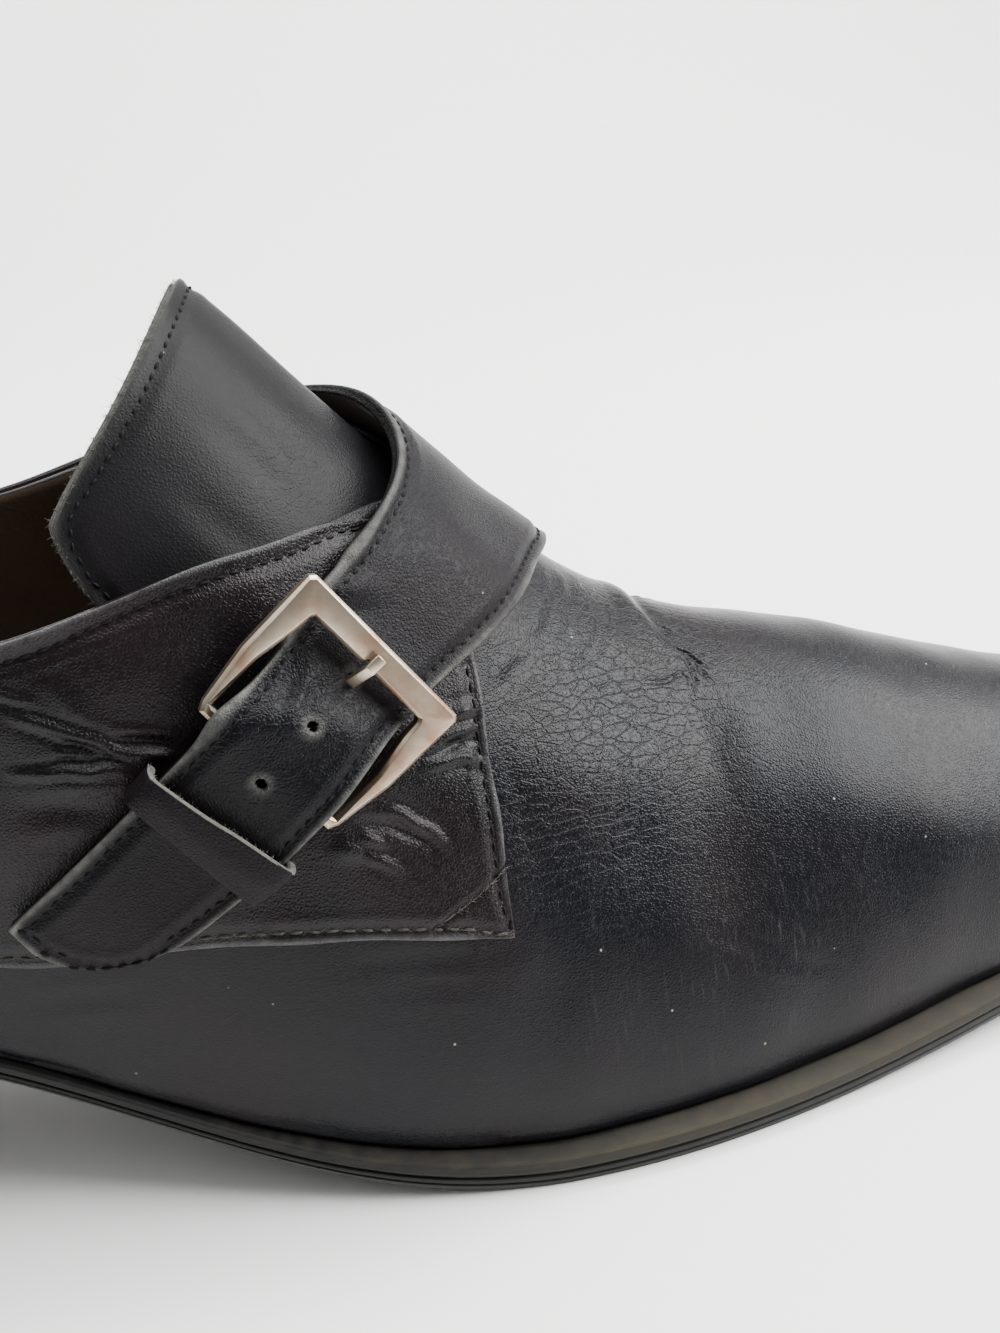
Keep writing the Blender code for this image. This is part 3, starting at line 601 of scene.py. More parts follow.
# Distance of every point from a run, and how far along it the nearest place lies
def distanceFrom(points, run):
    best = np.full(len(points), 1e9)
    share = np.zeros(len(points))
    lengths = lengthsAlong(run)
    for a, b, low, high in zip(run, run[1:], lengths, lengths[1:]):
        span = b - a
        t = np.clip((points - a) @ span / max(span @ span, 1e-18), 0, 1)
        away = np.linalg.norm(points - a - t[:, None] * span, axis=1)
        nearer = away < best
        best[nearer] = away[nearer]
        share[nearer] = ((low + (high - low) * t) / lengths[-1])[nearer]
    return best, share


# A soft ridge, or a trough where its height is below zero, in mm. Lip is the share of it that stands up on
# both sides; an even one keeps its height to both ends
def crease(width, height, *path, lip=0.0, even=False):
    run = smoothRun(np.array(path) * mm, 0.6 * mm)
    return {"run": run, "width": width, "height": height, "lip": lip, "even": even}


holeRim = 1.6   # mm round a hole's middle that move as one


# Creases pressed into the outside of a piece
def press(piece, creases, holes=()):
    points, outward = places(piece), normals(piece)
    # the rim of a hole moves straight out, or the hole would close
    for hole in holes:
        middle, _, _, out = holeAxes(hole)
        outward[np.linalg.norm(points - middle, axis=1) < holeRim * mm] = out
    outside = readAttribute(piece, "outside")
    tree = surfaceTree(piece)
    moved = np.zeros(len(points))
    for mark in creases:
        run = np.array([tree.find_nearest(Vector(point))[0] for point in mark["run"]])
        width = mark["width"] * mm
        low, high = run.min(axis=0) - 4 * width, run.max(axis=0) + 4 * width
        near = np.where(((points > low) & (points < high)).all(axis=1) & (outside > 0.5))[0]
        away, share = distanceFrom(points[near], run)
        u = away / width
        fade = 1.0 if mark["even"] else np.clip(np.sin(math.pi * np.clip(share, 0.02, 0.98)), 0, 1) ** 0.6
        shape = np.exp(-u ** 2) - mark["lip"] * np.exp(-(u - 2.0) ** 2 / 0.6)
        moved[near] += mark["height"] * mm * shape * fade
    movePoints(piece, points + outward * moved[:, None])


# Slow unevenness of worked leather: a few crossing waves, the same on every run
def undulate(piece, height, wavelength, seed):
    points = places(piece)
    draw = random.Random(seed)
    moved = np.zeros(len(points))
    for _ in range(9):
        direction = np.array([draw.gauss(0, 1) for _ in range(3)])
        direction *= 2 * math.pi / (np.linalg.norm(direction) * wavelength * mm * draw.uniform(0.7, 1.6))
        moved += np.sin(points @ direction + draw.uniform(0, 6.28)) / 3
    moved *= height * mm * readAttribute(piece, "outside")
    movePoints(piece, points + normals(piece) * moved[:, None])


# One leather panel: CAD copy with its outside marked, rounded, ready for seams and creases. A flare draws
# the inner rim out by so many mm above a height, which shows the cut edge
def panel(node, name, levels, hold=0.5, innerSlot=1, rimSlot=0, flare=(0, 0)):
    bm = quadCopy(node)
    groups = faceGroups(bm)
    outer = max(groups[:2], key=outwardShare)
    inner = groups[0] if groups[1] is outer else groups[1]
    outerFaces, innerFaces = set(outer), set(inner)
    outside = bm.verts.layers.float.new("outside")
    for face in bm.faces:
        face.material_index = 0 if face in outerFaces else innerSlot if face in innerFaces else rimSlot
    for face in outer:
        for vert in face.verts:
            vert[outside] = 1.0
    reach, lowest = flare
    for vert in {vert for face in inner for vert in face.verts}:
        near = [face.calc_center_median() for face in vert.link_faces if face in innerFaces]
        if reach and len(near) < len(vert.link_faces) and vert.co.z > lowest * mm:
            vert.co += (vert.co - sum(near, Vector()) / len(near)).normalized() * reach * mm
    loop, hints, holes = rimLoop(outer)
    # a hole's corners and a flared rim go round when the edges through the leather aren't held
    through = {edge for edge in bm.edges if not outerFaces.intersection(edge.link_faces)}
    soft = {edge for hole in holes for vert in hole for edge in vert.link_edges if edge in through}
    if reach:
        soft |= {edge for edge in through if not innerFaces.intersection(edge.link_faces)}
    holes = [np.array([vert.co for vert in hole]) for hole in holes]
    fine = smoothRun(loop, 0.5 * mm, closed=True)
    nearest = [nearestTo(loop, point) for point in fine]
    return rounded(bm, name, levels, hold, soft=soft), (fine, hints[nearest]), holes


# Finer cells on the outside of a piece, within boxes in mm, so that creases have a form
def refine(piece, boxes):
    for low, high in boxes:
        bm = bmesh.new()
        bm.from_mesh(piece.data)
        outside = bm.verts.layers.float["outside"]
        inBox = {vert for vert in bm.verts if vert[outside] > 0.99
                 and all(a * mm < c < b * mm for a, c, b in zip(low, vert.co, high))}
        chosen = {edge for face in bm.faces if inBox.issuperset(face.verts) for edge in face.edges}
        bmesh.ops.subdivide_edges(bm, edges=sorted(chosen, key=lambda edge: edge.index), cuts=1, smooth=1.0,
                                  use_grid_fill=True)
        bm.to_mesh(piece.data)
        bm.free()
        piece.data.shade_smooth()


# Attribute that is strongest at a place and fades away from it; middle and reach are x and z in mm
def spot(piece, name, middle, reach, strength=1.0):
    points = places(piece) / mm
    away = ((points[:, 0] - middle[0]) / reach[0]) ** 2 + ((points[:, 2] - middle[1]) / reach[1]) ** 2
    attribute(piece, name, strength * np.exp(-away) * readAttribute(piece, "outside"))


# Attribute that is 1 on the rim and falls to 0 some way in
def wearEdges(piece, rim, reach):
    away, _ = distanceFrom(places(piece), rim[0][::4])
    attribute(piece, "edge", np.clip(1 - away / (reach * mm), 0, 1) ** 1.5)


# Threads: one small bent grain of thread, set again and again along a run
threadLook = {"thick": 0.42, "share": 0.72, "dip": 0.35, "wobble": 0.09, "rise": 0.04}
threadPlaces = {"blackThread": [], "greyThread": []}
seamLook = {"width": 0.8, "deep": 0.28, "lip": 0.25, "thread": "blackThread"}   # where a row doesn't say


# Seam rows run along a panel's rim. Their troughs are pressed in with the creases, then the stitches are set
def creaseAndSew(piece, rim, look, creases, holes=()):
    tree = surfaceTree(piece)
    loop, hints = rim
    runs, troughs = [], []
    for row in look["seams"]:
        chosen = runBetween(loop, row["start"], row["via"], row["end"])
        runs.append(insetRun(loop[chosen], hints[chosen], tree, row["inset"]))
        troughs.append({"run": runs[-1][::3], "width": seamLook["width"], "lip": seamLook["lip"],
                        "height": -row.get("deep", seamLook["deep"]), "even": True})
    press(piece, creases + troughs, holes)
    tree = surfaceTree(piece)
    for number, (run, row) in enumerate(zip(runs, look["seams"])):
        draw = random.Random(look["sewSeed"] + number)
        for hit, tangent, normal in evenly(run, tree, row["pitch"]):
            turn = Matrix.Rotation(draw.gauss(0, threadLook["wobble"]), 3, normal)
            length = row["pitch"] * threadLook["share"] * draw.uniform(0.9, 1.1) * mm
            threadPlaces[row.get("thread", seamLook["thread"])].append((hit, turn @ tangent, normal, length))
    return runs


def makeThreads(colour):
    bm = bmesh.new()
    bmesh.ops.create_uvsphere(bm, u_segments=7, v_segments=6, radius=0.5)
    bmesh.ops.rotate(bm, verts=bm.verts, matrix=Matrix.Rotation(math.pi / 2, 3, "Y"))
    for vert in bm.verts:
        vert.co.z -= threadLook["dip"] * (2 * vert.co.x) ** 4
    bm.verts.index_update()
    shape = np.array([vert.co for vert in bm.verts])
    faces = [[vert.index for vert in face.verts] for face in bm.faces]
    bm.free()
    points, sides = [], []
    thick = threadLook["thick"] * mm
    for hit, forward, normal, length in threadPlaces[colour]:
        across = normal.cross(forward)
        axes = np.array([np.array(forward) * length, np.array(across) * thick, np.array(normal) * thick])
        base = len(points)
        points.extend((shape @ axes + np.array(hit + normal * thick * threadLook["rise"])).tolist())
        sides.extend([[base + corner for corner in face] for face in faces])
    dress(fromArrays(colour, points, sides), None, [colour])
    print(colour, "stitches:", len(threadPlaces[colour]))


# Upper: vamp and lower sides, with the bending creases behind the toe
upperLook = {
    "levels": 2,
    "fine": [((4, -50, 0), (150, 50, 90)), ((6, -30, 46), (52, 30, 90)), ((32, -16, 46), (49, 20, 66)),
             ((-56, -50, 24), (4, -20, 42))],
    "bend": ((28.0, 52.0), (23.0, 15.0)),     # middle and reach, x and z
    "scuffs": ((42.0, 26.0), (22.0, 13.0)),
    "waves": (0.14, 16, 3),                   # height, length and seed
    "tuck": (2.4, 1.0),                       # how high the lower rim turns in, and how far
    "creases": [
        # the bulge of the instep, and the foot of it where the toe box begins
        crease(2.4, 0.65, (36, 18, 59), (35.5, 10, 62), (36, 3, 61.5), (37.5, -1, 59.5), (38.5, -4, 57.5),
               (39.5, -6, 56), (39, -10, 53.5)),
        crease(1.2, -0.45, (39.5, 17, 58), (38.5, 10, 60.5), (38.5, 4, 60), (39.5, 0.5, 59),
               (40.5, -2.5, 57.5), (41.5, -5, 56)),
        # cracks in the foot of the bulge
        crease(0.32, -0.26, (39.5, 0.5, 59), (40.5, -1, 58.5), (42, -2, 57.5), lip=0.3),
        crease(0.34, -0.36, (40, -2.5, 57.5), (40.5, -4, 57), (41, -5, 56), (42, -5, 55.5), (43, -6, 55),
               (43.5, -6.5, 54.5), (43.5, -8, 53.5), (44, -8.5, 53), (44.5, -9.5, 52.5), lip=0.3),
        crease(0.28, -0.18, (43.5, -6.5, 54.5), (44.5, -7, 54), (45, -7, 53.5), lip=0.3),
        crease(0.3, -0.26, (41.5, -6, 55.5), (42, -7.5, 54.5), (42, -8, 54), (42, -9, 53),
               (42.5, -9.5, 52.5), lip=0.3),
        crease(0.3, -0.22, (42, -9, 53), (41.5, -10, 52.5), (41, -11, 52), lip=0.3),
        crease(0.34, -0.26, (33.5, -11, 55), (35.5, -10.5, 54.5), (37.5, -10, 54), (39, -9, 54),
               (40, -8.5, 54), (40.5, -9, 53.5), (40.5, -9.5, 53), lip=0.3),
        crease(0.34, -0.2, (26.5, -13.5, 56.5), (29, -12.5, 56), (31, -12, 56), lip=0.3),
        crease(0.42, -0.3, (39, 8, 60.5), (41, 9, 59.5), (42.5, 12, 58), lip=0.4),
        # folds beside the strap
        crease(0.9, -0.25, (25, 0, 68), (24, -4.5, 66.5), (21, -9.5, 64.5), (19, -12.5, 63.5), lip=0.5),
        crease(0.8, -0.15, (28, 2, 66.5), (25.5, -4.5, 65), (22.5, -10, 63), lip=0.5),
        crease(0.9, -0.18, (17.5, -14, 62.8), (15, -16.5, 62.2), (12.4, -19, 61.2), lip=0.5),
        crease(1, -0.22, (31, -2, 62), (28.5, -8, 60.8), (25, -13, 59.5), lip=0.6),
        # where the bent zone and the toe box turn down into the side, and the valley between the two
        crease(8, 0.9, (12, -27, 49), (24, -22, 48.5), (34, -18.5, 48), (42, -16, 47.5)),
        crease(8, 0.8, (42, -16, 47.5), (48, -18.5, 44), (53.5, -20, 40.5), (63, -22.5, 36),
               (77, -24, 29.5), (92, -22, 24)),
        crease(4, -0.3, (44, -10, 52), (42, -16, 47), (38, -22, 42), (35, -26.5, 37.5)),
        # wrinkles under the quarter's lower seam
        crease(1.1, -0.2, (-12.5, -35, 36), (-5.5, -35.5, 35), (0.5, -35.5, 34), (9.5, -35, 33), lip=0.5),
        crease(1.1, -0.16, (-8, -35.5, 32.5), (-1, -36, 31), (6.5, -36, 30), lip=0.5),
        crease(1.2, -0.15, (-50, -29, 33.5), (-43.5, -30, 34.5), (-36.5, -31.5, 34.5), lip=0.5),
        # small wrinkles low on the side
        crease(0.9, -0.18, (36, -32.6, 27.5), (42, -33, 25.5), (49, -33, 22.6), lip=0.6),
        crease(0.9, -0.16, (38, -33.4, 25), (45, -33.6, 22.6), (53, -33.6, 18.8), lip=0.6),
    ],
}


# The lower rim of the outside turns in under the shoe, which leaves a dark groove above the welt
def tuckUnder(piece, run, reach, depth):
    points, outward = places(piece), normals(piece)
    away, _ = distanceFrom(points, run)
    turn = np.clip(1 - away / (reach * mm), 0, 1) ** 2 * readAttribute(piece, "outside")
    inward = -outward * np.array([1.0, 1.0, 0.0])
    movePoints(piece, points + inward * (turn * depth * mm)[:, None])


def makeUpper(look):
    piece, rim, others = panel("upper", "upperShell", look["levels"])
    refine(piece, look["fine"])
    spot(piece, "flex", *look["bend"])
    spot(piece, "scuff", *look["scuffs"])
    undulate(piece, *look["waves"])
    press(piece, look["creases"])
    lowest = min([rim[0], *others], key=lambda run: run[:, 2].mean())
    tuckUnder(piece, np.vstack([lowest, lowest[:1]]), *look["tuck"])
    dress(piece, "upper", ["smoothCalf", "lining"])
    return piece


# Tongue: soft saddle flap with a cut grey edge and one row of stitches
tongueLook = {
    "levels": 3,
    "flare": (0.6, 66.0),
    "bend": ((-10.0, 91.0), (10.0, 8.0), 0.28),   # middle and reach, x and z, and strength
    "waves": (0.16, 18, 5),
    "worn": 1.0,                                  # mm in from the rim
    "sewSeed": 11,
    "seams": [
        {"start": (-15, 24, 72), "via": (-17, 3, 112), "end": (-20, -27, 64), "inset": 1.9, "pitch": 1.6},
    ],
    "creases": [
        crease(1.6, -0.16, (-19, -9, 98), (-14, -10, 93), (-9, -11, 87), lip=0.5),
        crease(1.4, -0.14, (-16, -5, 100.5), (-11, -6, 95), (-6, -7, 89), lip=0.5),
        crease(1.8, -0.14, (-24, -14, 92), (-18, -16, 86), (-12, -17, 81), lip=0.5),
    ],
}


def makeTongue(look):
    piece, rim, _ = panel("tongue", "tongueFlap", look["levels"], rimSlot=2, flare=look["flare"])
    spot(piece, "flex", *look["bend"])
    undulate(piece, *look["waves"])
    wearEdges(piece, rim, look["worn"])
    creaseAndSew(piece, rim, look, look["creases"])
    dress(piece, "tongue", ["softCalf", "lining", "cutEdge"])
    return piece


# Outer quarter: sewn along topline, front edge and lower seam, puckered by the buckle
quarterLook = {
    "levels": 3,
    "fine": [((-52, -60, 55), (12, 0, 80)), ((-20, -60, 34), (12, 0, 62))],
    "waves": (0.18, 15, 7),
    "worn": 0.9,
    "sewSeed": 21,
    "seams": [
        {"start": (-134, 0, 98), "via": (-60, -25, 79), "end": (8.5, -20, 68), "inset": 2.0, "pitch": 1.9,
         "deep": 0.36},
        {"start": (8.8, -20, 66), "via": (9, -28, 52), "end": (9, -33, 35.5), "inset": 1.3, "pitch": 1.9},
        {"start": (9, -33, 35.5), "via": (-60, -33, 44), "end": (-134, 0, 60), "inset": 1.3, "pitch": 2.1,
         "thread": "greyThread"},
    ],
    "patch": [(-1, -35.5, 39), (2, -35, 40.5), (5.5, -34, 42), (9, -32.5, 44)],   # cut across the corner
    "pucker": 1.3,                            # all crease heights times this
    "creases": [
        # puckers that run into the keeper
        crease(0.6, 0.42, (-44, -27.5, 72), (-41, -28, 70.5), (-39, -28.5, 69.5), (-37, -28.5, 68.5),
               (-35, -29, 67.5), (-34, -29.5, 66.5), (-32.5, -29.5, 65.5), lip=0.45),
        crease(0.7, -0.3, (-40, -28.5, 68.3), (-36, -29, 66.8), (-33.5, -29.5, 65.5)),
        crease(1.2, 0.25, (-41, -27.5, 75.5), (-38.5, -27.5, 73.5), (-36.5, -28.5, 70.5),
               (-34.5, -29, 68.5)),
        crease(0.7, -0.45, (-34.5, -29, 67.7), (-31, -29, 67), (-27, -29.5, 66), lip=0.4),
        crease(0.6, 0.36, (-45.5, -29, 65.5), (-42, -29, 65), (-39, -29.5, 65), (-36.5, -29.5, 64.5),
               (-34, -30, 64.5), (-32, -30, 63.5), lip=0.4),
        crease(0.4, 0.2, (-40, -29, 67), (-38.5, -29, 67), (-37, -29, 66.5), lip=0.4),
        crease(0.4, 0.2, (-36.5, -29.5, 65), (-34.5, -29.5, 65), (-33, -29.5, 64.5), lip=0.4),
        crease(0.5, 0.22, (-47, -27, 75.5), (-44.5, -27.5, 74.5), (-41.5, -27.5, 73), lip=0.4),
        crease(0.6, -0.28, (-41, -29, 66.5), (-36.5, -29.5, 65.5), (-33, -29.5, 65)),
        crease(1.8, 0.35, (-39.5, -29.5, 63.3), (-35.5, -30, 63), (-33, -30.5, 62.5)),
        crease(0.6, 0.35, (-32, -29.5, 65.5), (-30, -29.5, 65.5), (-28, -29.5, 65)),
        crease(1.5, -0.25, (-46, -29.8, 61), (-40, -30.2, 60.8), (-35, -30.6, 60), lip=0.4),
        # puckers between buckle and front edge
        crease(0.6, 0.36, (3.5, -25.5, 59.4), (6, -24.5, 59.6), (8.6, -24, 59.8), lip=0.4),
        crease(0.6, -0.36, (3, -26.5, 58.5), (5.5, -25.5, 58.5), (8.4, -25, 58)),
        crease(0.6, 0.36, (1, -27.5, 57), (3.5, -27, 57), (5.5, -26.5, 57), (7, -26.5, 56.5),
               (8.6, -26.5, 55.5), lip=0.4),
        crease(0.8, 0.3, (5, -24, 61.4), (8.8, -22.5, 61.6), lip=0.4),
        crease(0.65, 0.42, (-5, -31, 54), (-3, -30.5, 53), (-1.5, -31, 51.5), (0.5, -31, 50), (2, -32, 48),
               lip=0.4),
        crease(0.7, -0.35, (-8, -31.5, 53.5), (-5.5, -31.5, 52.5), (-3.5, -31.5, 51.5),
               (-0.5, -31.5, 49.5)),
        crease(0.55, 0.32, (-8, -32, 52), (-7, -32, 51), (-5.5, -32.5, 50), lip=0.3),
        crease(1.1, 0.35, (-11.5, -33, 50.5), (-10, -32.5, 50.5), (-8, -32.5, 49.5)),
        crease(0.6, 0.25, (-8, -32.5, 49.5), (-5.5, -33, 48), (-4, -33.5, 46.5), lip=0.4),
    ],
}


def makeQuarter(look):
    piece, rim, _ = panel("quarter_lateral", "quarterLateral", look["levels"])
    wearEdges(piece, rim, look["worn"])
    undulate(piece, *look["waves"])
    refine(piece, look["fine"])
    puckers = [{**mark, "height": mark["height"] * look["pucker"]} for mark in look["creases"]]
    cut = crease(0.35, -0.3, *look["patch"], lip=0.2, even=True)
    runs = creaseAndSew(piece, rim, look, puckers + [cut])
    dress(piece, "quarter_lateral", ["shinyCalf", "lining"])
    return runs


# Inner quarter and the strap that grows out of it
strapLook = {
    "levels": 3,
    "bend": ((-16.0, 68.0), (8.0, 8.0), 0.6),
    "waves": (0.14, 15, 9),
    "worn": 0.9,
    "sewSeed": 31,
    "hole": (0.8, 2.6),                       # radius, and how far the leather round it follows
    "holeWorn": (0.5, 1.7, 0.8),              # strength, where it ends, and over how many mm it fades
    "seams": [
        {"start": (-134, 5, 98), "via": (-48, -36, 43), "end": (12, 33, 39), "inset": 1.5, "pitch": 1.8,
         "deep": 0.34},
        {"start": (11, 34, 38), "via": (-60, 34, 44), "end": (-134, 5, 60), "inset": 1.3, "pitch": 2.1,
         "thread": "greyThread"},
    ],
    "creases": [
        # hump of the tail behind the buckle
        crease(3, 0.8, (-21.5, -34.2, 70.5), (-15, -33.5, 69), (-8.5, -32.4, 66.4), even=True),
        # the strap turns down over the instep
        crease(7, 0.7, (-4, -18.5, 83), (2, -16.5, 81), (6.5, -15, 78.5), (12, -13.5, 75), (18, -12, 71.5),
               even=True),
        crease(1.3, 0.4, (-9.5, -24.5, 80), (-5.2, -22.1, 79), (-1.5, -20.7, 77.8), lip=0.4),
        crease(0.9, -0.35, (-12, -28.4, 74), (-14, -31, 72), (-15.6, -33, 70), lip=0.5),
        crease(0.9, -0.25, (-10, -29.5, 71.5), (-12, -31.5, 70), (-13, -32.8, 68), lip=0.4),
    ],
}


# Middle of a hole, two directions across it and the one out of it
def holeAxes(hole):
    middle = hole.mean(axis=0)
    first, second, out = np.linalg.svd(hole - middle)[2]
    away = middle - np.array([middle[0], footMiddle[0] * mm, footMiddle[1] * mm])
    return middle, first, second, out * np.sign(out @ away)


# A punched hole: its wall is drawn to a true circle, and the leather round it follows
def roundHole(piece, hole, radius, reach):
    points = places(piece)
    middle, first, second, normal = holeAxes(hole)
    offset = points - middle
    u, v, deep = offset @ first, offset @ second, offset @ normal
    r, angle = np.hypot(u, v), np.arctan2(v, u)
    ends = np.zeros(len(piece.data.edges) * 2, int)
    piece.data.edges.foreach_get("vertices", ends)
    ends = ends.reshape(-1, 2)
    outside = readAttribute(piece, "outside") > 0.99
    border = np.unique(ends[outside[ends[:, 0]] != outside[ends[:, 1]]])
    inReach = (r < reach * mm) & (np.abs(deep) < 3 * mm)
    ring = border[(outside & inReach)[border]]
    near = np.where(inReach)[0]
    wall = np.interp(angle[near], angle[ring], r[ring], period=2 * math.pi)
    drawn = radius * mm + (r[near] - wall) * (reach - radius) * mm / np.maximum(reach * mm - wall, 1e-6)
    grow = drawn / np.maximum(r[near], 1e-9)
    points[near] = (middle + np.outer(u[near] * grow, first) + np.outer(v[near] * grow, second)
                    + np.outer(deep[near], normal))
    movePoints(piece, points)


def makeStrap(look):
    piece, rim, holes = panel("quarter_medial_strap", "quarterMedialStrap", look["levels"], hold=0.45)
    for hole in holes:
        roundHole(piece, hole, *look["hole"])
    wearEdges(piece, rim, look["worn"])
    strength, end, over = look["holeWorn"]
    away = np.min([np.linalg.norm(places(piece) - hole.mean(axis=0), axis=1) for hole in holes], axis=0) / mm
    rings = strength * np.clip((end - away) / over, 0, 1)
    attribute(piece, "edge", np.maximum(readAttribute(piece, "edge"), rings))
    spot(piece, "flex", *look["bend"])
    undulate(piece, *look["waves"])
    creaseAndSew(piece, rim, look, look["creases"], holes)
    dress(piece, "quarter_medial_strap", ["strapCalf", "lining"])
    return piece, holes


# Keeper and chape: plain strips; the keeper's edge towards the buckle is cut and raw
stripLook = {
    "levels": 3,
    "hold": 0.4,
    "rawSide": (0.60, 0.30, 0.74),
    "rawFrom": 0.45,
    "swell": [crease(1.8, 0.35, (-30, -36, 63), (-27, -37, 59.5), (-23.5, -38, 55.5), (-19, -38.5, 51.5),
                     even=True)],
}


def makeStrip(node, name, edgeSlot, swell):
    piece, _, _ = panel(node, name, stripLook["levels"], stripLook["hold"], innerSlot=2, rimSlot=edgeSlot)
    raw = Vector(stripLook["rawSide"])
    for face in piece.data.polygons:
        if face.material_index == 1 and face.normal.dot(raw) < stripLook["rawFrom"]:
            face.material_index = 0
    press(piece, swell)
    dress(piece, node, ["strapCalf", "rawEdge", "lining"])
    return piece


# Back strip: fills the seam between the two quarters at the heel, a little below their faces
backLook = {"middle": 2.8, "wide": 2.4, "low": 59.8, "high": 98.3, "rows": 24, "thick": 1.3, "edge": 0.3}


def makeBackStrip(look):
    tree = surfaceTree(upper)
    profile = []
    for z in np.linspace(look["low"], look["high"], look["rows"]):
        behind = Vector((-200, look["middle"], min(z, look["high"] - 1))) * mm
        hit = tree.ray_cast(behind, Vector((1, 0, 0)))[0]
        profile.append((hit.x, (look["middle"] - look["wide"] / 2) * mm, z * mm))
    bm = drawnStrip(profile, (0, look["wide"] * mm, 0))
    bmesh.ops.reverse_faces(bm, faces=[face for face in bm.faces if face.normal.x > 0])
    piece = fromBmesh(bm, "backStrip")
    wall = piece.modifiers.new("wall", "SOLIDIFY")
    wall.thickness = look["thick"] * mm
    wall.offset = 1.0
    soft = piece.modifiers.new("softEdge", "BEVEL")
    soft.affect = "EDGES"
    soft.width = look["edge"] * mm
    soft.segments = 3
    soft.profile = 0.5
    soft.material = -1
    applyModifiers(piece)
    dress(piece, None, ["shinyCalf"])


upper = makeUpper(upperLook)
makeBackStrip(backLook)
tongue = makeTongue(tongueLook)
quarterRuns = makeQuarter(quarterLook)
strap, strapHoles = makeStrap(strapLook)
keeper = makeStrip("keeper", "keeperLoop", 1, stripLook["swell"])
makeStrip("buckle_chape", "buckleChape", 0, [])
print("leather panels made")
for colour in threadPlaces:
    makeThreads(colour)


# Loose fibres: thin tapering tubes that stand out of cut edges, round holes and along the lower seam
fibreLook = {
    "thick": 0.045,                        # mm
    # lengths in mm; spread is how wildly they stand
    "tongue": {"count": 1700, "length": (0.2, 0.65), "spread": 0.7, "above": 60.0},
    "keeper": {"count": 220, "length": (0.12, 0.3), "spread": 0.7},
    "hole": {"count": 70, "length": (0.12, 0.32), "spread": 0.35, "radius": 0.85, "across": 0.5,
             "out": 0.35},
    "seam": {"count": 110, "length": (0.3, 0.8), "spread": 0.35, "way": (0.9, -0.25, 0.0)},
    "patch": {"count": 50, "length": (0.3, 0.8), "spread": 0.3, "way": (0.75, 0.1, 0.4)},
    # long ones at the tongue's near corner: root and way, in mm
    "long": [((-47.5, -25.0, 77.0), (-5.0, -2.0, -1.0)), ((-48.0, -25.5, 75.0), (-3.5, -2.5, -3.5)),
             ((-47.0, -24.5, 79.0), (-2.5, -2.0, 2.0)), ((-47.6, -25.0, 76.8), (-4.5, -2.0, 0.5)),
             ((-47.8, -25.2, 76.0), (-4.0, -2.0, -2.5)), ((-47.9, -25.4, 75.4), (-3.0, -2.0, -3.0))],
}


def unit(vectors):
    return vectors / np.maximum(np.linalg.norm(vectors, axis=1, keepdims=True), 1e-9)


# Roots spread over the faces of one material, each with the face's normal
def rootsOnFaces(piece, slot, count, draw, lowest=-1.0):
    faces = [face for face in piece.data.polygons
             if face.material_index == slot and face.center.z > lowest * mm]
    chosen = draw.choices(faces, [face.area for face in faces], k=count)
    jitter = [[draw.gauss(0, 0.1) * mm for _ in range(3)] for _ in chosen]
    roots = np.array([face.center for face in chosen]) + np.array(jitter)
    return roots, np.array([face.normal for face in chosen])


# Tubes of four rings with three corners each
def fibreArrays(roots, ways, lengths, thick):
    draw = random.Random(len(roots))
    bends = np.array([[draw.gauss(0, 0.35) for _ in range(3)] for _ in roots]) * lengths[:, None]
    steps = np.array([0.0, 0.35, 0.7, 1.0])
    middles = (roots[:, None] + ways[:, None] * (lengths[:, None] * steps)[:, :, None]
               + bends[:, None] * (steps ** 2)[None, :, None])
    side = unit(np.cross(ways, bends + np.array([0.0, 0.0, 1e-6])))
    other = np.cross(side, ways)
    rings = []
    for angle in (0.0, 2 * math.pi / 3, 4 * math.pi / 3):
        reach = side * math.cos(angle) + other * math.sin(angle)
        rings.append(middles + reach[:, None] * (thick * mm * (1 - 0.75 * steps))[None, :, None])
    points = np.stack(rings, axis=2).reshape(-1, 3)
    faces = []
    for base in range(0, len(points), 12):
        for ring in range(3):
            for corner in range(3):
                a, b = base + ring * 3 + corner, base + ring * 3 + (corner + 1) % 3
                faces.append((a, b, b + 3, a + 3))
    return points, faces


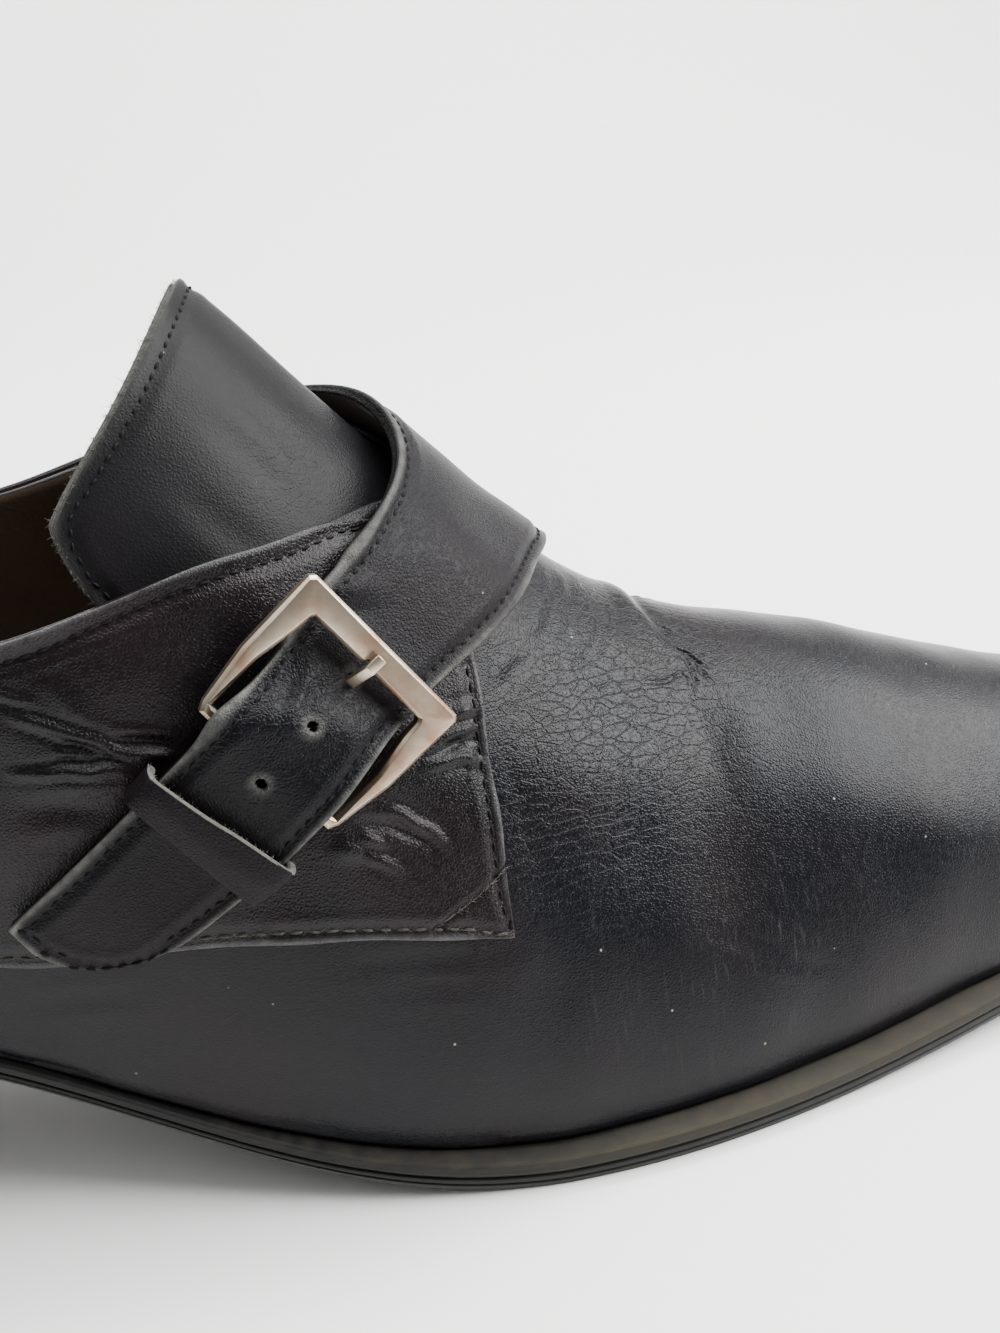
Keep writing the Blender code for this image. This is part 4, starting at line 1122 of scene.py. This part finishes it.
def makeFibres(look):
    draw = random.Random(41)
    roots, ways, lengths = [], [], []

    def add(starts, directions, kind):
        wild = np.array([[draw.gauss(0, kind["spread"]) for _ in range(3)] for _ in starts])
        roots.append(starts)
        ways.append(unit(directions + wild))
        lengths.append(np.array([draw.uniform(*kind["length"]) for _ in starts]) * mm)

    edge = look["tongue"]
    add(*rootsOnFaces(tongue, 2, edge["count"], draw, edge["above"]), edge)
    add(*rootsOnFaces(keeper, 1, look["keeper"]["count"], draw), look["keeper"])
    tree = surfaceTree(strap)
    tuft = look["hole"]
    for hole in strapHoles:
        middle, first, second, normal = holeAxes(hole)
        angles = [draw.uniform(0, 2 * math.pi) for _ in range(tuft["count"])]
        around = np.array([first * math.cos(a) + second * math.sin(a) for a in angles])
        starts = [tree.find_nearest(Vector(middle + out * tuft["radius"] * mm))[0] for out in around]
        add(np.array(starts), around * tuft["across"] + normal * tuft["out"], tuft)
    corner = smoothRun(np.array(quarterLook["patch"]) * mm, 0.05 * mm)
    for run, kind in ((quarterRuns[2], look["seam"]), (corner, look["patch"])):
        add(np.array(draw.sample(list(run), kind["count"])), np.array(kind["way"]), kind)
    for root, way in look["long"]:
        reach = np.array([way])
        roots.append(np.array([root]) * mm)
        ways.append(unit(reach))
        lengths.append(np.linalg.norm(reach, axis=1) * mm)
    points, faces = fibreArrays(np.vstack(roots), np.vstack(ways), np.concatenate(lengths), look["thick"])
    dress(fromArrays("looseFibres", points.tolist(), faces), None, ["looseFibre"])
    print("fibres:", len(points) // 12)


makeFibres(fibreLook)


# Sole pieces and heel: rows of the edge stay as lines along the shoe
soleLooks = {
    # slot, finish, levels
    "midsole": ("sole_edge", "inkedEdge", 3),
    "outsole": ("sole_rubber", "rubber", 2),
    "insole": ("lining", "lining", 2),
    "heel": ("heel_cover", "heelCalf", 2),
    "heel_top_lift": ("sole_rubber", "rubber", 2),
}
# settings for the sole edge's worn brown rim and its darker flat top, which is partly painted shade under the
# upper
inkWearAndTopShade = {"turn": 0.65, "spread": 0.25, "from": -35.0, "over": 60.0}   # upward share of the normal; x in mm


def makeSolePiece(node, material, levels):
    piece = rounded(quadCopy(node), node + "Piece", levels, hold=1.0, degrees=12)
    piece.data.set_sharp_from_angle(angle=math.radians(50))
    # the ink is worn at the forefoot, most of all where the top turns into the side; the flat top, facing
    # straight up, gets a lower value, partly ink and partly painted shade under the overhanging upper
    rimWearAndTopShade = np.exp(-((normals(piece)[:, 2] - inkWearAndTopShade["turn"]) / inkWearAndTopShade["spread"]) ** 2)
    forward = np.clip((places(piece)[:, 0] / mm - inkWearAndTopShade["from"]) / inkWearAndTopShade["over"], 0, 1)
    attribute(piece, "rim", (0.5 + 0.5 * rimWearAndTopShade) * forward)
    dress(piece, node, [material])


for node, (slot, material, levels) in soleLooks.items():
    makeSolePiece(node, material, levels)
print("sole made")


# Buckle: cast frame and prong with softened edges
buckleLook = {"frameEdge": 0.45, "prongEdge": 0.22, "segments": 3}


def makeMetal(node, name, width, segments):
    bm = quadCopy(node)
    sharp = [edge for edge in bm.edges if isHard(edge, 20)]
    bmesh.ops.bevel(bm, geom=sharp, offset=width * mm, offset_type="OFFSET", affect="EDGES",
                    segments=segments, profile=0.5, material=-1, clamp_overlap=True)
    piece = fromBmesh(bm, name)
    piece.data.shade_smooth()
    piece.data.set_sharp_from_angle(angle=math.radians(40))
    dress(piece, node, ["nickel"])


makeMetal("buckle_frame", "buckleFrame", buckleLook["frameEdge"], buckleLook["segments"])
makeMetal("buckle_prong", "buckleProng", buckleLook["prongEdge"], buckleLook["segments"])
print("buckle made")
